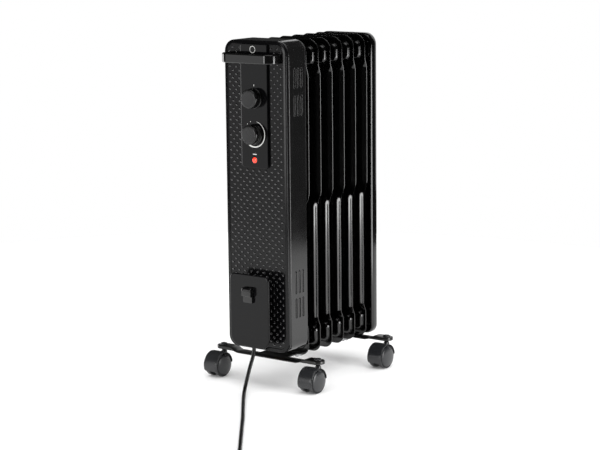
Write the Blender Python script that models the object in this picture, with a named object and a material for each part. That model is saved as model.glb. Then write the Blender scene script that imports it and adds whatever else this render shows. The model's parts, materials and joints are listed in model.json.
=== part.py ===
"""Oil filled radiator heater: seven welded fins, a control housing, and two feet on twin-wheel castors.

Run it with blender --background --python part.py, or from Blender's text editor.

Lengths are worked out in millimetres, and MM turns them into Blender's metres. The origin is on the
floor under the middle of the heater, +Z is up, the fins are stacked along Y and the controls face -Y.
"""

import math

import bmesh
import bpy
from mathutils import Matrix, Vector

MM = 0.001
GAP = 0.3  # left between solids that touch

# ---------------------------------------------------------------- driving dimensions
DEPTH = 335.0  # from the cord clip to the back of the last fin
CLIP_DEPTH = 9.5
WINDER_STANDS = 26.5  # the cord plate's front, ahead of the housing's face
FACE_Y = -DEPTH / 2 + CLIP_DEPTH + WINDER_STANDS

FIN_COUNT = 7
FIN_PITCH = 37.15
FIN_HALF_WIDTH = 62.8
FIN_TOP, FIN_BOTTOM = 630.0, 50.0
FIN_TOP_RADIUS, FIN_BOTTOM_RADIUS = 22.0, 18.0
SHEET = 1.8  # two welded sheets of 0.9 mm
HEADER_BULGE = 7.0
HEADERS = {"top": (600.0, 54.0, 17.5), "bottom": (81.0, 57.0, 19.0)}  # height, half length, half height
CHANNEL_HALF_WIDTH, CHANNEL_BULGE = 32.0, 4.5
BOSS_RADIUS, BORE_RADIUS = 19.0, 12.0
ELEMENT_BOSS = 12.0  # how far the first fin's bottom boss stands out, with the element's flange on it
WING_SHARE = 0.76  # the flat middle's share of the half width, the rest is the bent wing
WING_STATIONS = ((99.0, 0.0), (114.0, -7.0), (325.0, -7.0), (352.0, 6.5), (565.0, 6.5), (581.0, 0.0))
RIM_DEPTH, RIM_WALL = 15.0, 2.0  # the last fin's folded edge
LAST_FIN_Y = DEPTH / 2 - HEADER_BULGE

HOUSING_HALF_WIDTH = 69.2
HOUSING_TOP, HOUSING_BOTTOM = 632.5, 68.0
HOUSING_REAR_Y = FACE_Y + 58.9
HOUSING_TOP_RADIUS, HOUSING_BOTTOM_RADIUS = 22.0, 20.0
HOUSING_SHEET = 1.2
PANEL_DEPTH, PANEL_WALL = 8.0, 2.5

CONTROL_PLATE = (29.8, 404.0, 626.0, 4.0)  # half width, bottom, top, thickness
KNOB_HEIGHTS = {"selector": 529.5, "thermostat": 465.0}
KNOB_RADIUS, KNOB_LENGTH = 18.5, 16.7
SPINDLE_RADIUS, BUSH_RADIUS = 3.0, 4.6
LAMP_HEIGHT, LAMP_RADIUS = 418.0, 4.9

HANDLE = (59.0, 593.5, 610.5, 31.0, 5.0, 7.0)  # half width, bottom, top, reach, thickness, bend radius

WINDER_PLATE = (44.5, 77.0, 212.0, 3.5)  # half width, bottom, top, thickness
WINDER_POST = (20.0, 108.0, 188.0)  # half width, bottom, top
CLIP_HALF_WIDTH = 10.0
RELIEF_Y, RELIEF_BOTTOM = -146.0, 78.0

FOOT_HALF_LENGTH, FOOT_HALF_WIDTH = 121.5, 12.8
FOOT_END_TOP, FOOT_MIDDLE_TOP, FOOT_UNDERSIDE = 56.0, 49.6, 47.2
FOOT_SHEET, TONGUE_HALF_WIDTH = 2.4, 32.0
FOOT_YS = {"front": -97.65, "rear": 124.55}
BOLT_GAPS = {"front": 0, "rear": 4}  # the gap between fins that each foot's U-bolt goes through
BOLT_RADIUS = 2.5

CASTOR_X = 109.1
WHEEL_RADIUS, WHEEL_TRAIL = 22.0, 18.5
WHEEL_INNER, WHEEL_OUTER = 5.8, 15.2  # a wheel's faces, along its axle
HOOD_RADIUS, HOOD_WALL, HOOD_HALF_WIDTH = 24.6, 1.7, 15.8
STEM_RADIUS, AXLE_RADIUS = 3.2, 2.0

CORD_DIAMETER = 7.0
CORD_ROUTE = [  # by hand: out of the strain relief, down to the floor and along it
    (0.0, -146.0, 77.4),
    (0.0, -146.0, 69.0),
    (0.0, -150.0, 56.5),
    (0.2, -157.6, 43.0),
    (1.4, -165.6, 30.0),
    (4.4, -175.2, 18.0),
    (10.0, -187.0, 8.6),
    (19.0, -201.0, 4.2),
    (30.0, -216.0, 3.6),
    (48.0, -240.0, 3.6),
    (68.0, -266.0, 3.6),
    (90.0, -294.5, 3.6),
    (114.0, -325.5, 3.6),
    (139.0, -359.0, 3.6),
    (164.0, -392.5, 3.6),
    (189.0, -426.0, 3.6),
    (214.0, -459.5, 3.6),
    (239.0, -493.0, 3.6),
    (264.0, -526.5, 3.6),
    (280.3, -548.4, 3.6),
]
COIL_RADII, COIL_HEIGHTS = (33.4, 40.6), (4.4, 11.6)
PLUG_LENGTH, PLUG_RADIUS, BOOT_RADIUS = 56.0, 18.2, 4.6
PIN_LENGTH, PIN_RADIUS, PIN_SPACING = 19.0, 2.4, 19.0


# ---------------------------------------------------------------- materials
FINISHES = {  # linear colour, roughness, metallic
    "black_enamel": ((0.006, 0.006, 0.007), 0.18, 0.0),
    "satin_black_plastic": ((0.020, 0.020, 0.021), 0.42, 0.0),
    "knob_plastic": ((0.024, 0.024, 0.025), 0.38, 0.0),
    "gloss_black_plastic": ((0.010, 0.010, 0.010), 0.15, 0.0),
    "castor_nylon": ((0.040, 0.040, 0.043), 0.45, 0.0),
    "zinc_plate": ((0.560, 0.560, 0.550), 0.30, 1.0),
    "stainless_sheath": ((0.500, 0.490, 0.470), 0.35, 1.0),
    "brass": ((0.640, 0.440, 0.160), 0.30, 1.0),
    "ceramic_white": ((0.700, 0.690, 0.660), 0.55, 0.0),
    "pvc_black": ((0.012, 0.012, 0.012), 0.45, 0.0),
    "red_lens": ((0.700, 0.015, 0.008), 0.12, 0.0),
}


def finish(name):
    """The named material, made the first time that it is asked for."""
    made = bpy.data.materials.get(name)
    if made:
        return made
    colour, roughness, metallic = FINISHES[name]
    made = bpy.data.materials.new(name)
    made.use_nodes = True
    shader = made.node_tree.nodes["Principled BSDF"]
    shader.inputs["Base Color"].default_value = (*colour, 1.0)
    shader.inputs["Roughness"].default_value = roughness
    shader.inputs["Metallic"].default_value = metallic
    return made


# ---------------------------------------------------------------- outlines, as lists of (a, b) in mm
def arc(centre, radius, start, stop, steps):
    """Points on a circle from one angle to another, in degrees, both ends included."""
    angles = [math.radians(start + (stop - start) * i / steps) for i in range(steps + 1)]
    return [(centre[0] + radius * math.cos(a), centre[1] + radius * math.sin(a)) for a in angles]


def rounded(half_width, bottom, top, low_radius, high_radius, inset=0.0, steps=5):
    """A rectangle, centred on a = 0, with its corners rounded, counter-clockwise from lower right."""
    half_width, bottom, top = half_width - inset, bottom + inset, top - inset
    low, high = max(low_radius - inset, 0.5), max(high_radius - inset, 0.5)
    return (
        arc((half_width - low, bottom + low), low, -90, 0, steps)
        + arc((half_width - high, top - high), high, 0, 90, steps)
        + arc((high - half_width, top - high), high, 90, 180, steps)
        + arc((low - half_width, bottom + low), low, 180, 270, steps)
    )


def box_outline(left, right, bottom, top):
    return [(left, bottom), (right, bottom), (right, top), (left, top)]


# ---------------------------------------------------------------- solids
def placed(a, b, c, along):
    """A point whose c runs along the named axis, and whose a and b lie across it."""
    return {"X": (c, a, b), "Y": (a, c, b), "Z": (a, b, c)}[along]


def finished_mesh(bm):
    """A bmesh in millimetres as a mesh in metres, with its faces pointing out."""
    bmesh.ops.recalc_face_normals(bm, faces=bm.faces)
    bmesh.ops.scale(bm, vec=(MM, MM, MM), verts=bm.verts)
    mesh = bpy.data.meshes.new("solid")
    bm.to_mesh(mesh)
    bm.free()
    return mesh


def add_prism(bm, outline, low, high, along="Y"):
    """An outline carried straight from low to high."""
    near = [bm.verts.new(placed(a, b, low, along)) for a, b in outline]
    far = [bm.verts.new(placed(a, b, high, along)) for a, b in outline]
    bm.faces.new(near)
    bm.faces.new(far)
    for i, (a, b) in enumerate(zip(near, far)):
        bm.faces.new((a, near[i - 1], far[i - 1], b))


def add_turned(bm, profile, segments, along="Z"):
    """A profile of (radius, height) turned about an axis. It ends on the axis, or closes on itself."""
    rings = []
    for radius, height in profile:
        count = 1 if radius == 0 else segments
        turn = [2 * math.pi * i / count for i in range(count)]
        points = [(radius * math.cos(t), radius * math.sin(t)) for t in turn]
        rings.append([bm.verts.new(placed(a, b, height, along)) for a, b in points])
    pairs = list(zip(rings, rings[1:]))
    if len(rings[0]) > 1:
        pairs.append((rings[-1], rings[0]))
    for lower, upper in pairs:
        for i in range(segments):
            j = (i + 1) % segments
            below = (lower[i % len(lower)], lower[j % len(lower)])
            above = (upper[j % len(upper)], upper[i % len(upper)])
            bm.faces.new(list(dict.fromkeys(below + above)))


def prism(outline, low, high, along="Y"):
    bm = bmesh.new()
    add_prism(bm, outline, low, high, along)
    return finished_mesh(bm)


def prisms(several, along="Y"):
    """Separate prisms in one mesh, for a Boolean, each given as (outline, low, high)."""
    bm = bmesh.new()
    for outline, low, high in several:
        add_prism(bm, outline, low, high, along)
    return finished_mesh(bm)


def turned(profile, segments=24, along="Z", at=(0, 0, 0)):
    bm = bmesh.new()
    add_turned(bm, profile, segments, along)
    bmesh.ops.translate(bm, vec=at, verts=bm.verts)
    return finished_mesh(bm)


def rods(several, segments=16, along="Y"):
    """Separate cylinders in one mesh, for a Boolean, each given as (centre, radius, low, high)."""
    bm = bmesh.new()
    for centre, radius, low, high in several:
        add_prism(bm, arc(centre, radius, 0, 360 - 360 / segments, segments - 1), low, high, along)
    return finished_mesh(bm)


def boolean(mesh, other, operation):
    """One closed mesh joined with, cut by or kept inside another."""
    base, tool = (bpy.data.objects.new(role, m) for role, m in (("base", mesh), ("tool", other)))
    for item in (base, tool):
        bpy.context.scene.collection.objects.link(item)
    modifier = base.modifiers.new("Boolean", "BOOLEAN")
    modifier.operation = operation
    modifier.solver = "EXACT"
    modifier.object = tool
    view = bpy.context.evaluated_depsgraph_get()
    result = bpy.data.meshes.new_from_object(base.evaluated_get(view))
    for item in (base, tool):
        bpy.data.objects.remove(item)
    return result


def joined(mesh, *others):
    for other in others:
        mesh = boolean(mesh, other, "UNION")
    return mesh


def cut(mesh, *others):
    for other in others:
        mesh = boolean(mesh, other, "DIFFERENCE")
    return mesh


def piece(name, data, finish_name, at=(0, 0, 0), parent=None, smooth=30):
    """A named sub-part, at a place in millimetres from its parent's origin."""
    item = bpy.data.objects.new(name, data)
    bpy.context.scene.collection.objects.link(item)
    item.location = Vector(at) * MM
    item.parent = parent
    if not data.materials:
        data.materials.append(finish(finish_name))
    if isinstance(data, bpy.types.Mesh):
        data.shade_smooth()
        data.set_sharp_from_angle(angle=math.radians(smooth))
    return item


def tube(name, points, radius, finish_name, resolution=2):
    """A round tube along points in millimetres, with closed ends."""
    curve = bpy.data.curves.new(name, "CURVE")
    curve.dimensions = "3D"
    curve.bevel_depth = radius * MM
    curve.bevel_resolution = resolution
    curve.use_fill_caps = True
    spline = curve.splines.new("POLY")
    spline.points.add(len(points) - 1)
    for target, point in zip(spline.points, points):
        target.co = (*(Vector(point) * MM), 1.0)
    return piece(name, curve, finish_name)


# ---------------------------------------------------------------- fins
def fin_y(index):
    """The middle plane of a fin, counted from the control side."""
    return LAST_FIN_Y - (FIN_COUNT - 1 - index) * FIN_PITCH


def fin_rows(inset):
    """Heights up the fin with the half width and the wing's bend at each, (z, half width, bend)."""
    half, low, high = FIN_HALF_WIDTH - inset, FIN_BOTTOM_RADIUS, FIN_TOP_RADIUS
    lower = arc((half - low, FIN_BOTTOM + inset + low), low, -90, 0, 4)
    upper = arc((half - high, FIN_TOP - inset - high), high, 0, 90, 4)
    wings = [] if inset else [(z, half, bend) for z, bend in WING_STATIONS]
    return [(z, a, 0.0) for a, z in lower] + wings + [(z, a, 0.0) for a, z in upper]


def fin_sheet(inset=0.0):
    """The sheet of one fin: flat in the middle, its wings bent back above and forward below."""
    columns = (-1.0, -WING_SHARE, WING_SHARE, 1.0)
    rows = fin_rows(inset)
    bm = bmesh.new()
    sides = []
    for side in (-SHEET / 2, SHEET / 2):
        sides.append([
            [bm.verts.new((u * half, side + (bend if abs(u) == 1 else 0.0), z)) for u in columns]
            for z, half, bend in rows
        ])
    front, back = sides
    for r in range(len(rows) - 1):
        for c in range(len(columns) - 1):
            for grid in sides:
                bm.faces.new((grid[r][c], grid[r][c + 1], grid[r + 1][c + 1], grid[r + 1][c]))
        for c in (0, -1):
            bm.faces.new((front[r][c], front[r + 1][c], back[r + 1][c], back[r][c]))
    for r in (0, -1):
        for c in range(len(columns) - 1):
            bm.faces.new((front[r][c], front[r][c + 1], back[r][c + 1], back[r][c]))
    return finished_mesh(bm)


def fin_solid(front_reach, back_reach):
    """A fin with its headers, oil channel and the hollow bosses that its neighbours are welded to.

    The reaches give how far its top and bottom bosses stand out, or None where a header is blank.
    """
    folded = back_reach is None
    mesh = fin_sheet(RIM_WALL / 2 if folded else 0.0)
    if folded:
        radii = (FIN_BOTTOM_RADIUS, FIN_TOP_RADIUS)
        edge = [rounded(FIN_HALF_WIDTH, FIN_BOTTOM, FIN_TOP, *radii, inset=i) for i in (0.0, RIM_WALL)]
        rim = cut(prism(edge[0], -RIM_DEPTH, SHEET), prism(edge[1], -RIM_DEPTH - 5, SHEET + 5))
        mesh = joined(mesh, rim)
    channel = box_outline(-CHANNEL_HALF_WIDTH, CHANNEL_HALF_WIDTH, HEADERS["bottom"][0], HEADERS["top"][0])
    headers = []
    bosses = []
    bores = []
    for name, (height, half_length, half_height) in HEADERS.items():
        low, high = height - half_height, height + half_height
        stadium = rounded(half_length, low, high, half_height, half_height, steps=3)
        headers.append((stadium, -HEADER_BULGE, HEADER_BULGE))
        front = front_reach[name]
        back = HEADER_BULGE - 1 if folded else back_reach
        bosses.append(((0, height), BOSS_RADIUS, -(front or HEADER_BULGE - 1), back))
        blind_front = -SHEET if front is None else -FIN_PITCH
        bores.append(((0, height), BORE_RADIUS, blind_front, SHEET if folded else FIN_PITCH))
    mesh = joined(mesh, prism(channel, -CHANNEL_BULGE, CHANNEL_BULGE), prisms(headers), rods(bosses, 12))
    return cut(mesh, rods(bores, 12))


def make_fins():
    reach = FIN_PITCH / 2 - GAP / 2
    both = {"top": reach, "bottom": reach}
    first = fin_solid({"top": None, "bottom": ELEMENT_BOSS}, reach)
    inner = fin_solid(both, reach)
    last = fin_solid(both, None)
    for index in range(FIN_COUNT):
        mesh = {0: first, FIN_COUNT - 1: last}.get(index, inner)
        piece(f"fin_{index + 1}", mesh, "black_enamel", (0, fin_y(index), 0))


# ---------------------------------------------------------------- heating element
def make_element():
    height = HEADERS["bottom"][0]
    flange_back = fin_y(0) - ELEMENT_BOSS - GAP
    flange_front = flange_back - 7.0
    spread, sheath = 6.0, 3.5
    far = fin_y(FIN_COUNT - 1) - 30.0
    bend = [(spread * math.cos(t), far + spread * math.sin(t)) for t in (math.pi * i / 8 for i in range(9))]
    ends = [(spread, flange_front - 10.0)], [(-spread, flange_front - 10.0)]
    tube("heating_element", [(x, y, height) for x, y in ends[0] + bend + ends[1]], sheath, "stainless_sheath")
    hexagon = arc((0, height), 18.5, 0, 300, 5)
    holes = rods([((x, height), sheath + GAP, flange_front - 5, flange_back + 5) for x in (-spread, spread)])
    flange = cut(prism(hexagon, flange_front, flange_back), holes)
    piece("element_flange", flange, "brass")
    cutout_back = fin_y(0) - CHANNEL_BULGE - GAP
    cutout = turned([(0, 0), (8.0, 0), (8.0, -6.0), (4.0, -6.0), (4.0, -9.0), (0, -9.0)], 16, "Y")
    piece("thermal_cutout", cutout, "ceramic_white", (20.0, cutout_back, 140.0))


# ---------------------------------------------------------------- control housing
def housing_outline(inset=0.0):
    radii = (HOUSING_BOTTOM_RADIUS, HOUSING_TOP_RADIUS)
    return rounded(HOUSING_HALF_WIDTH, HOUSING_BOTTOM, HOUSING_TOP, *radii, inset=inset)


def make_housing():
    front = FACE_Y + PANEL_DEPTH + GAP
    sleeve = cut(
        prism(housing_outline(), front, HOUSING_REAR_Y),
        prism(housing_outline(HOUSING_SHEET), front - 5, HOUSING_REAR_Y - HOUSING_SHEET),
        prism(housing_outline(9.0), front, HOUSING_REAR_Y + 5),
    )
    flange_notch = prism(box_outline(-22.0, 22.0, 60.0, 80.0), HOUSING_REAR_Y - 32.0, HOUSING_REAR_Y + 10.0)
    piece("control_housing", cut(sleeve, flange_notch), "black_enamel")

    controls = [((0, z), BUSH_RADIUS + GAP, FACE_Y - 10, FACE_Y + 10) for z in KNOB_HEIGHTS.values()]
    controls.append(((0, LAMP_HEIGHT), LAMP_RADIUS + GAP, FACE_Y - 10, FACE_Y + 10))
    hollow = prism(housing_outline(PANEL_WALL), FACE_Y + PANEL_WALL, FACE_Y + PANEL_DEPTH + 5)
    panel = cut(prism(housing_outline(), FACE_Y, FACE_Y + PANEL_DEPTH), hollow, rods(controls))
    piece("front_panel", panel, "satin_black_plastic")

    half_width, bottom, top, thickness = CONTROL_PLATE
    plate = prism(rounded(half_width, bottom, top, 6.0, 3.0), FACE_Y - thickness, FACE_Y - GAP)
    piece("control_plate", cut(plate, rods(controls)), "satin_black_plastic")


def make_handle():
    """A flat strip bent to a D, its two legs ending on the front panel."""
    half_width, bottom, top, reach, thickness, bend = HANDLE
    root, front = FACE_Y - GAP, FACE_Y - reach
    inner_bend = bend - thickness
    right = [(half_width, root)] + arc((half_width - bend, front + bend), bend, 0, -90, 5)
    inside = arc((half_width - bend, front + bend), inner_bend, -90, 0, 5) + [(half_width - thickness, root)]
    left = [(-x, y) for x, y in reversed(right)]
    left_inside = [(-x, y) for x, y in reversed(inside)]
    strip = prism(right + left + left_inside + inside, bottom, top, "Z")
    piece("carry_handle", strip, "gloss_black_plastic")


def make_controls():
    """Knobs on spindles, and the switches behind the panel that the spindles turn in."""
    plate_front = FACE_Y - CONTROL_PLATE[3]
    knob_back = plate_front - 0.8
    spindle_front, spindle_back = knob_back - 11.0, FACE_Y + 17.0
    switch_front = FACE_Y + PANEL_WALL + GAP
    knob_profile = [
        (0, -KNOB_LENGTH),
        (KNOB_RADIUS - 1.5, -KNOB_LENGTH),
        (KNOB_RADIUS - 0.5, -KNOB_LENGTH + 1.2),
        (KNOB_RADIUS, 0),
        (SPINDLE_RADIUS + GAP, 0),
        (SPINDLE_RADIUS + GAP, -11.0 - GAP),
        (0, -11.0 - GAP),
    ]
    bodies = {"selector": ("selector_switch", 15.0, 26.0), "thermostat": ("thermostat", 17.0, 22.0)}
    for name, height in KNOB_HEIGHTS.items():
        knob = turned(knob_profile, 24, "Y")
        piece(f"{name}_knob", knob, "knob_plastic", (0, knob_back, height))
        length = spindle_back - spindle_front
        spindle = turned([(0, 0), (SPINDLE_RADIUS, 0), (SPINDLE_RADIUS, length), (0, length)], 12, "Y")
        piece(f"{name}_spindle", spindle, "zinc_plate", (0, spindle_front, height))
        body_name, half, depth = bodies[name]
        body = prism(rounded(half, height - half, height + half, 3, 3, steps=2), switch_front, FACE_Y + depth)
        bush = rods([((0, height), BUSH_RADIUS, plate_front + 1, switch_front + 5)])
        bore = rods([((0, height), SPINDLE_RADIUS + GAP, plate_front - 5, spindle_back + GAP)], 12)
        piece(body_name, cut(joined(body, bush), bore), "ceramic_white")


def make_lamp():
    lens_back = FACE_Y - 2.4
    lens_front = FACE_Y - CONTROL_PLATE[3] - 1.6
    lens = [(0, lens_back), (LAMP_RADIUS, lens_back), (LAMP_RADIUS, lens_front + 1.2), (3.6, lens_front + 0.3)]
    piece("lamp_lens", turned(lens + [(0, lens_front)], 16, "Y"), "red_lens", (0, 0, LAMP_HEIGHT))
    front, back = lens_back + GAP, FACE_Y + 18.0
    holder = [(0, front), (LAMP_RADIUS, front), (LAMP_RADIUS, back), (0, back)]
    piece("lamp_holder", turned(holder, 16, "Y"), "ceramic_white", (0, 0, LAMP_HEIGHT))
    block = prism(box_outline(-16, 16, 150, 164), FACE_Y + PANEL_WALL + GAP, FACE_Y + 18)
    piece("terminal_block", block, "ceramic_white")


# ---------------------------------------------------------------- cord winder
def make_winder():
    half_width, bottom, top, thickness = WINDER_PLATE
    front = FACE_Y - WINDER_STANDS
    plate = prism(rounded(half_width, bottom, top, 20, 11), front, front + thickness)
    piece("winder_plate", plate, "satin_black_plastic")
    post_half, post_bottom, post_top = WINDER_POST
    post = rounded(post_half, post_bottom, post_top, 12, 12, steps=4)
    piece("winder_post", prism(post, front + thickness + GAP, FACE_Y - GAP), "satin_black_plastic")
    root, tip, lip = front - GAP, -DEPTH / 2, -DEPTH / 2 + 4.5
    hook = [(root, 189), (tip + 1, 187.5), (tip, 185), (tip, 173), (lip, 171), (lip, 160), (root, 160)]
    piece("cord_clip", prism(hook, -CLIP_HALF_WIDTH, CLIP_HALF_WIDTH, "X"), "gloss_black_plastic")
    relief_top = post_bottom - GAP - RELIEF_BOTTOM
    relief = [(0, 0), (4.8, 0), (5.2, 8.0), (5.9, 16.0), (6.8, relief_top - 3), (6.8, relief_top), (0, relief_top)]
    piece("strain_relief", turned(relief, 16), "pvc_black", (0, RELIEF_Y, RELIEF_BOTTOM))


# ---------------------------------------------------------------- feet and castors
def make_feet():
    header_height = HEADERS["bottom"][0]
    leg_x = BOSS_RADIUS + GAP + BOLT_RADIUS
    for end, y in FOOT_YS.items():
        bolt_y = fin_y(BOLT_GAPS[end]) + FIN_PITCH / 2
        inward = 1 if bolt_y > y else -1
        ends = arc((FOOT_HALF_LENGTH - FOOT_HALF_WIDTH, y), FOOT_HALF_WIDTH, -90, 90, 8)
        plan = prism(ends + [(-a, b) for a, b in reversed(ends)], 30, 70, "Z")
        upper = [(-130, FOOT_END_TOP), (-86, FOOT_END_TOP), (-72, FOOT_MIDDLE_TOP)]
        lower = [(-78, FOOT_UNDERSIDE), (-90, FOOT_END_TOP - FOOT_SHEET), (-130, FOOT_END_TOP - FOOT_SHEET)]
        outline = upper + [(-x, z) for x, z in reversed(upper)] + [(-x, z) for x, z in reversed(lower)] + lower
        bar = boolean(prism(outline, y - 30, y + 30), plan, "INTERSECT")
        tongue_ys = sorted((y + inward * 8.0, bolt_y + inward * 10.0))
        low_z, high_z = FOOT_UNDERSIDE + 0.1, FOOT_MIDDLE_TOP - 0.1
        tongue = prism(box_outline(-TONGUE_HALF_WIDTH, TONGUE_HALF_WIDTH, *tongue_ys), low_z, high_z, "Z")
        holes = [((x, y), STEM_RADIUS + GAP, 30, 70) for x in (-CASTOR_X, CASTOR_X)]
        holes += [((x, bolt_y), BOLT_RADIUS + GAP, 30, 70) for x in (-leg_x, leg_x)]
        piece(f"{end}_foot", cut(joined(bar, tongue), rods(holes, 12, "Z")), "black_enamel")

        over = [(a, bolt_y, b) for a, b in arc((0, header_height), leg_x, 0, 180, 10)]
        leg_end = FOOT_UNDERSIDE - 7.5
        path = [(leg_x, bolt_y, leg_end)] + over + [(-leg_x, bolt_y, leg_end)]
        tube(f"{end}_u_bolt", path, BOLT_RADIUS, "zinc_plate")
        nut_top = FOOT_UNDERSIDE - GAP
        for side, x in (("left", -leg_x), ("right", leg_x)):
            nut = prism(arc((0, 0), 5.0, 0, 330, 11), -5.0, 0.0, "Z")
            wings = prism([(-11, -4.6), (11, -4.6), (12, -0.4), (6, -0.8), (-6, -0.8), (-12, -0.4)], -1.1, 1.1)
            bore = rods([((0, 0), BOLT_RADIUS + GAP, -10, 10)], 12, "Z")
            nut = cut(joined(nut, wings), bore)
            piece(f"{end}_wing_nut_{side}", nut, "zinc_plate", (x, bolt_y, nut_top))


def hood_mesh():
    """A castor's hood: a curved cover over both wheels, a web between them and the socket for the stem."""
    centre = (-WHEEL_TRAIL, WHEEL_RADIUS)
    inner = HOOD_RADIUS - HOOD_WALL
    band = arc(centre, HOOD_RADIUS, 3, 205, 13) + arc(centre, inner, 205, 3, 13)
    web = arc(centre, inner + 0.6, -22, 202, 11)
    half_web = WHEEL_INNER - 0.6
    socket = [(0, 26.5), (half_web, 26.5), (half_web, 41.0), (4.5, 46.6), (0, 46.6)]
    mesh = joined(
        prism(band, -HOOD_HALF_WIDTH, HOOD_HALF_WIDTH, "X"),
        prism(web, -half_web, half_web, "X"),
        turned(socket, 12),
    )
    stem_bore = rods([((0, 0), STEM_RADIUS + GAP, 28.0, 60.0)], 12, "Z")
    axle_bore = rods([(centre, AXLE_RADIUS + GAP, -20.0, 20.0)], 12, "X")
    return cut(mesh, stem_bore, axle_bore)


def wheel_mesh(side):
    """One wheel with its axle along X, domed on the outer side, with a blind bore for the axle."""
    profile = [
        (0, WHEEL_OUTER + 1.8),
        (12.0, WHEEL_OUTER + 1.5),
        (20.3, WHEEL_OUTER + 0.6),
        (WHEEL_RADIUS, WHEEL_OUTER - 0.6),
        (WHEEL_RADIUS, WHEEL_INNER + 1.0),
        (WHEEL_RADIUS - 1.0, WHEEL_INNER),
        (AXLE_RADIUS + GAP, WHEEL_INNER),
        (AXLE_RADIUS + GAP, WHEEL_OUTER - 0.4),
        (0, WHEEL_OUTER - 0.4),
    ]
    return turned([(radius, side * x) for radius, x in profile], 24, "X")


def make_castors():
    hood = hood_mesh()
    wheels = {"left": wheel_mesh(-1), "right": wheel_mesh(1)}
    axle_end = WHEEL_OUTER - 0.9
    axle = turned([(0, -axle_end), (AXLE_RADIUS, -axle_end), (AXLE_RADIUS, axle_end), (0, axle_end)], 12, "X")
    plate_top, plate_under = FOOT_END_TOP + GAP, FOOT_END_TOP - FOOT_SHEET - GAP
    stem = turned([
        (0, 28.0 + GAP),
        (STEM_RADIUS, 28.0 + GAP),
        (STEM_RADIUS, plate_under - 1.5),
        (5.0, plate_under - 1.5),
        (5.0, plate_under),
        (STEM_RADIUS, plate_under),
        (STEM_RADIUS, plate_top),
        (6.4, plate_top),
        (6.4, plate_top + 1.9),
        (4.0, plate_top + 3.3),
        (0, plate_top + 3.5),
    ], 12)
    for end, y in FOOT_YS.items():
        for side, x in (("left", -CASTOR_X), ("right", CASTOR_X)):
            name = f"castor_{end}_{side}"
            piece(f"{name}_stem", stem, "zinc_plate", (x, y, 0))
            body = piece(f"{name}_hood", hood, "castor_nylon", (x, y, 0))
            axle_at = (0, -WHEEL_TRAIL, WHEEL_RADIUS)
            piece(f"{name}_axle", axle, "zinc_plate", axle_at, body)
            for wheel_side, wheel in wheels.items():
                piece(f"{name}_wheel_{wheel_side}", wheel, "castor_nylon", axle_at, body)


# ---------------------------------------------------------------- power cord
def smooth_line(route, spacing):
    """Points a spacing apart on the Catmull-Rom curve through a route."""
    points = [Vector(p) for p in route]
    points = [2 * points[0] - points[1]] + points + [2 * points[-1] - points[-2]]
    fine = []
    for p0, p1, p2, p3 in zip(points, points[1:], points[2:], points[3:]):
        for t in (i / 12 for i in range(12)):
            bend = (2 * p0 - 5 * p1 + 4 * p2 - p3) * t * t + (3 * p1 - p0 - 3 * p2 + p3) * t ** 3
            fine.append((2 * p1 + (p2 - p0) * t + bend) / 2)
    fine.append(points[-2])
    lengths = [0.0]
    for a, b in zip(fine, fine[1:]):
        lengths.append(lengths[-1] + (b - a).length)
    count = round(lengths[-1] / spacing)
    result = []
    for k in range(count + 1):
        at = lengths[-1] * k / count
        i = max(j for j in range(len(fine) - 1) if lengths[j] <= at + 1e-9)
        share = (at - lengths[i]) / (lengths[i + 1] - lengths[i])
        result.append(fine[i].lerp(fine[i + 1], share))
    return result


def make_cord():
    """The lead from the strain relief to its coil, the coil's outer shape and the plug."""
    radius = CORD_DIAMETER / 2
    end = Vector(CORD_ROUTE[-1])
    heading = (end - Vector(CORD_ROUTE[-2])).normalized()
    right = Vector((heading.y, -heading.x, 0))
    tube("power_cord", smooth_line(CORD_ROUTE, 2.5 * CORD_DIAMETER), radius, "pvc_black")

    slack = 0.4
    inner, outer = COIL_RADII[0] - radius - slack, COIL_RADII[-1] + radius + slack
    low, high = 0.0, COIL_HEIGHTS[-1] + radius + slack
    reach = math.sqrt(outer ** 2 - (COIL_RADII[-1] - radius) ** 2) + GAP
    tangent = end + heading * reach
    centre = tangent + right * COIL_RADII[-1]
    ring = [(inner, low + 2), (inner + 2, low), (outer - 2, low), (outer, low + 2)]
    ring += [(outer, high - 2), (outer - 2, high), (inner + 2, high), (inner, high - 2)]
    piece("cord_coil", turned(ring, 24), "pvc_black", (centre.x, centre.y, 0))

    start = math.sqrt(outer ** 2 - (COIL_RADII[-1] - BOOT_RADIUS) ** 2) + GAP
    shell = [(0, 0), (BOOT_RADIUS, 0), (6.0, 16.0), (8.0, 18.0), (12.5, 30.0)]
    shell += [(PLUG_RADIUS, PLUG_LENGTH - 12), (PLUG_RADIUS, PLUG_LENGTH), (0, PLUG_LENGTH)]
    pin_xs = (-PIN_SPACING / 2, PIN_SPACING / 2)
    pins = [((x, 0), PIN_RADIUS, PLUG_LENGTH - 2, PLUG_LENGTH + PIN_LENGTH) for x in pin_xs]
    mesh = joined(turned(shell, 20), rods(pins, 12, "Z"))
    mesh.transform(Matrix((right, heading.cross(right), heading)).transposed().to_4x4())
    place = tangent + heading * start
    piece("plug", mesh, "pvc_black", (place.x, place.y, PLUG_RADIUS + GAP))


def main():
    for item in list(bpy.data.objects):
        bpy.data.objects.remove(item, do_unlink=True)
    make_fins()
    make_element()
    make_housing()
    make_handle()
    make_controls()
    make_lamp()
    make_winder()
    make_feet()
    make_castors()
    make_cord()


main()
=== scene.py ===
# %% [markdown]
# # An oil filled radiator heater, built round its CAD frame
#
# The real heater is a stack of seven welded steel fins filled with oil, with a control housing at one
# end and two feet on twin-wheel castors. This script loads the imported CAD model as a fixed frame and
# gives every visible piece its finished shape and surface. Each step starts with a few words on what
# the piece is, how it could be made, and why this way was chosen. All lengths below are written in
# millimetres, as a maker would, and turned to Blender's metres in one place.

# %% Load the frame
import json
import math

import bmesh
import bpy
from mathutils import Matrix, Vector


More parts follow.
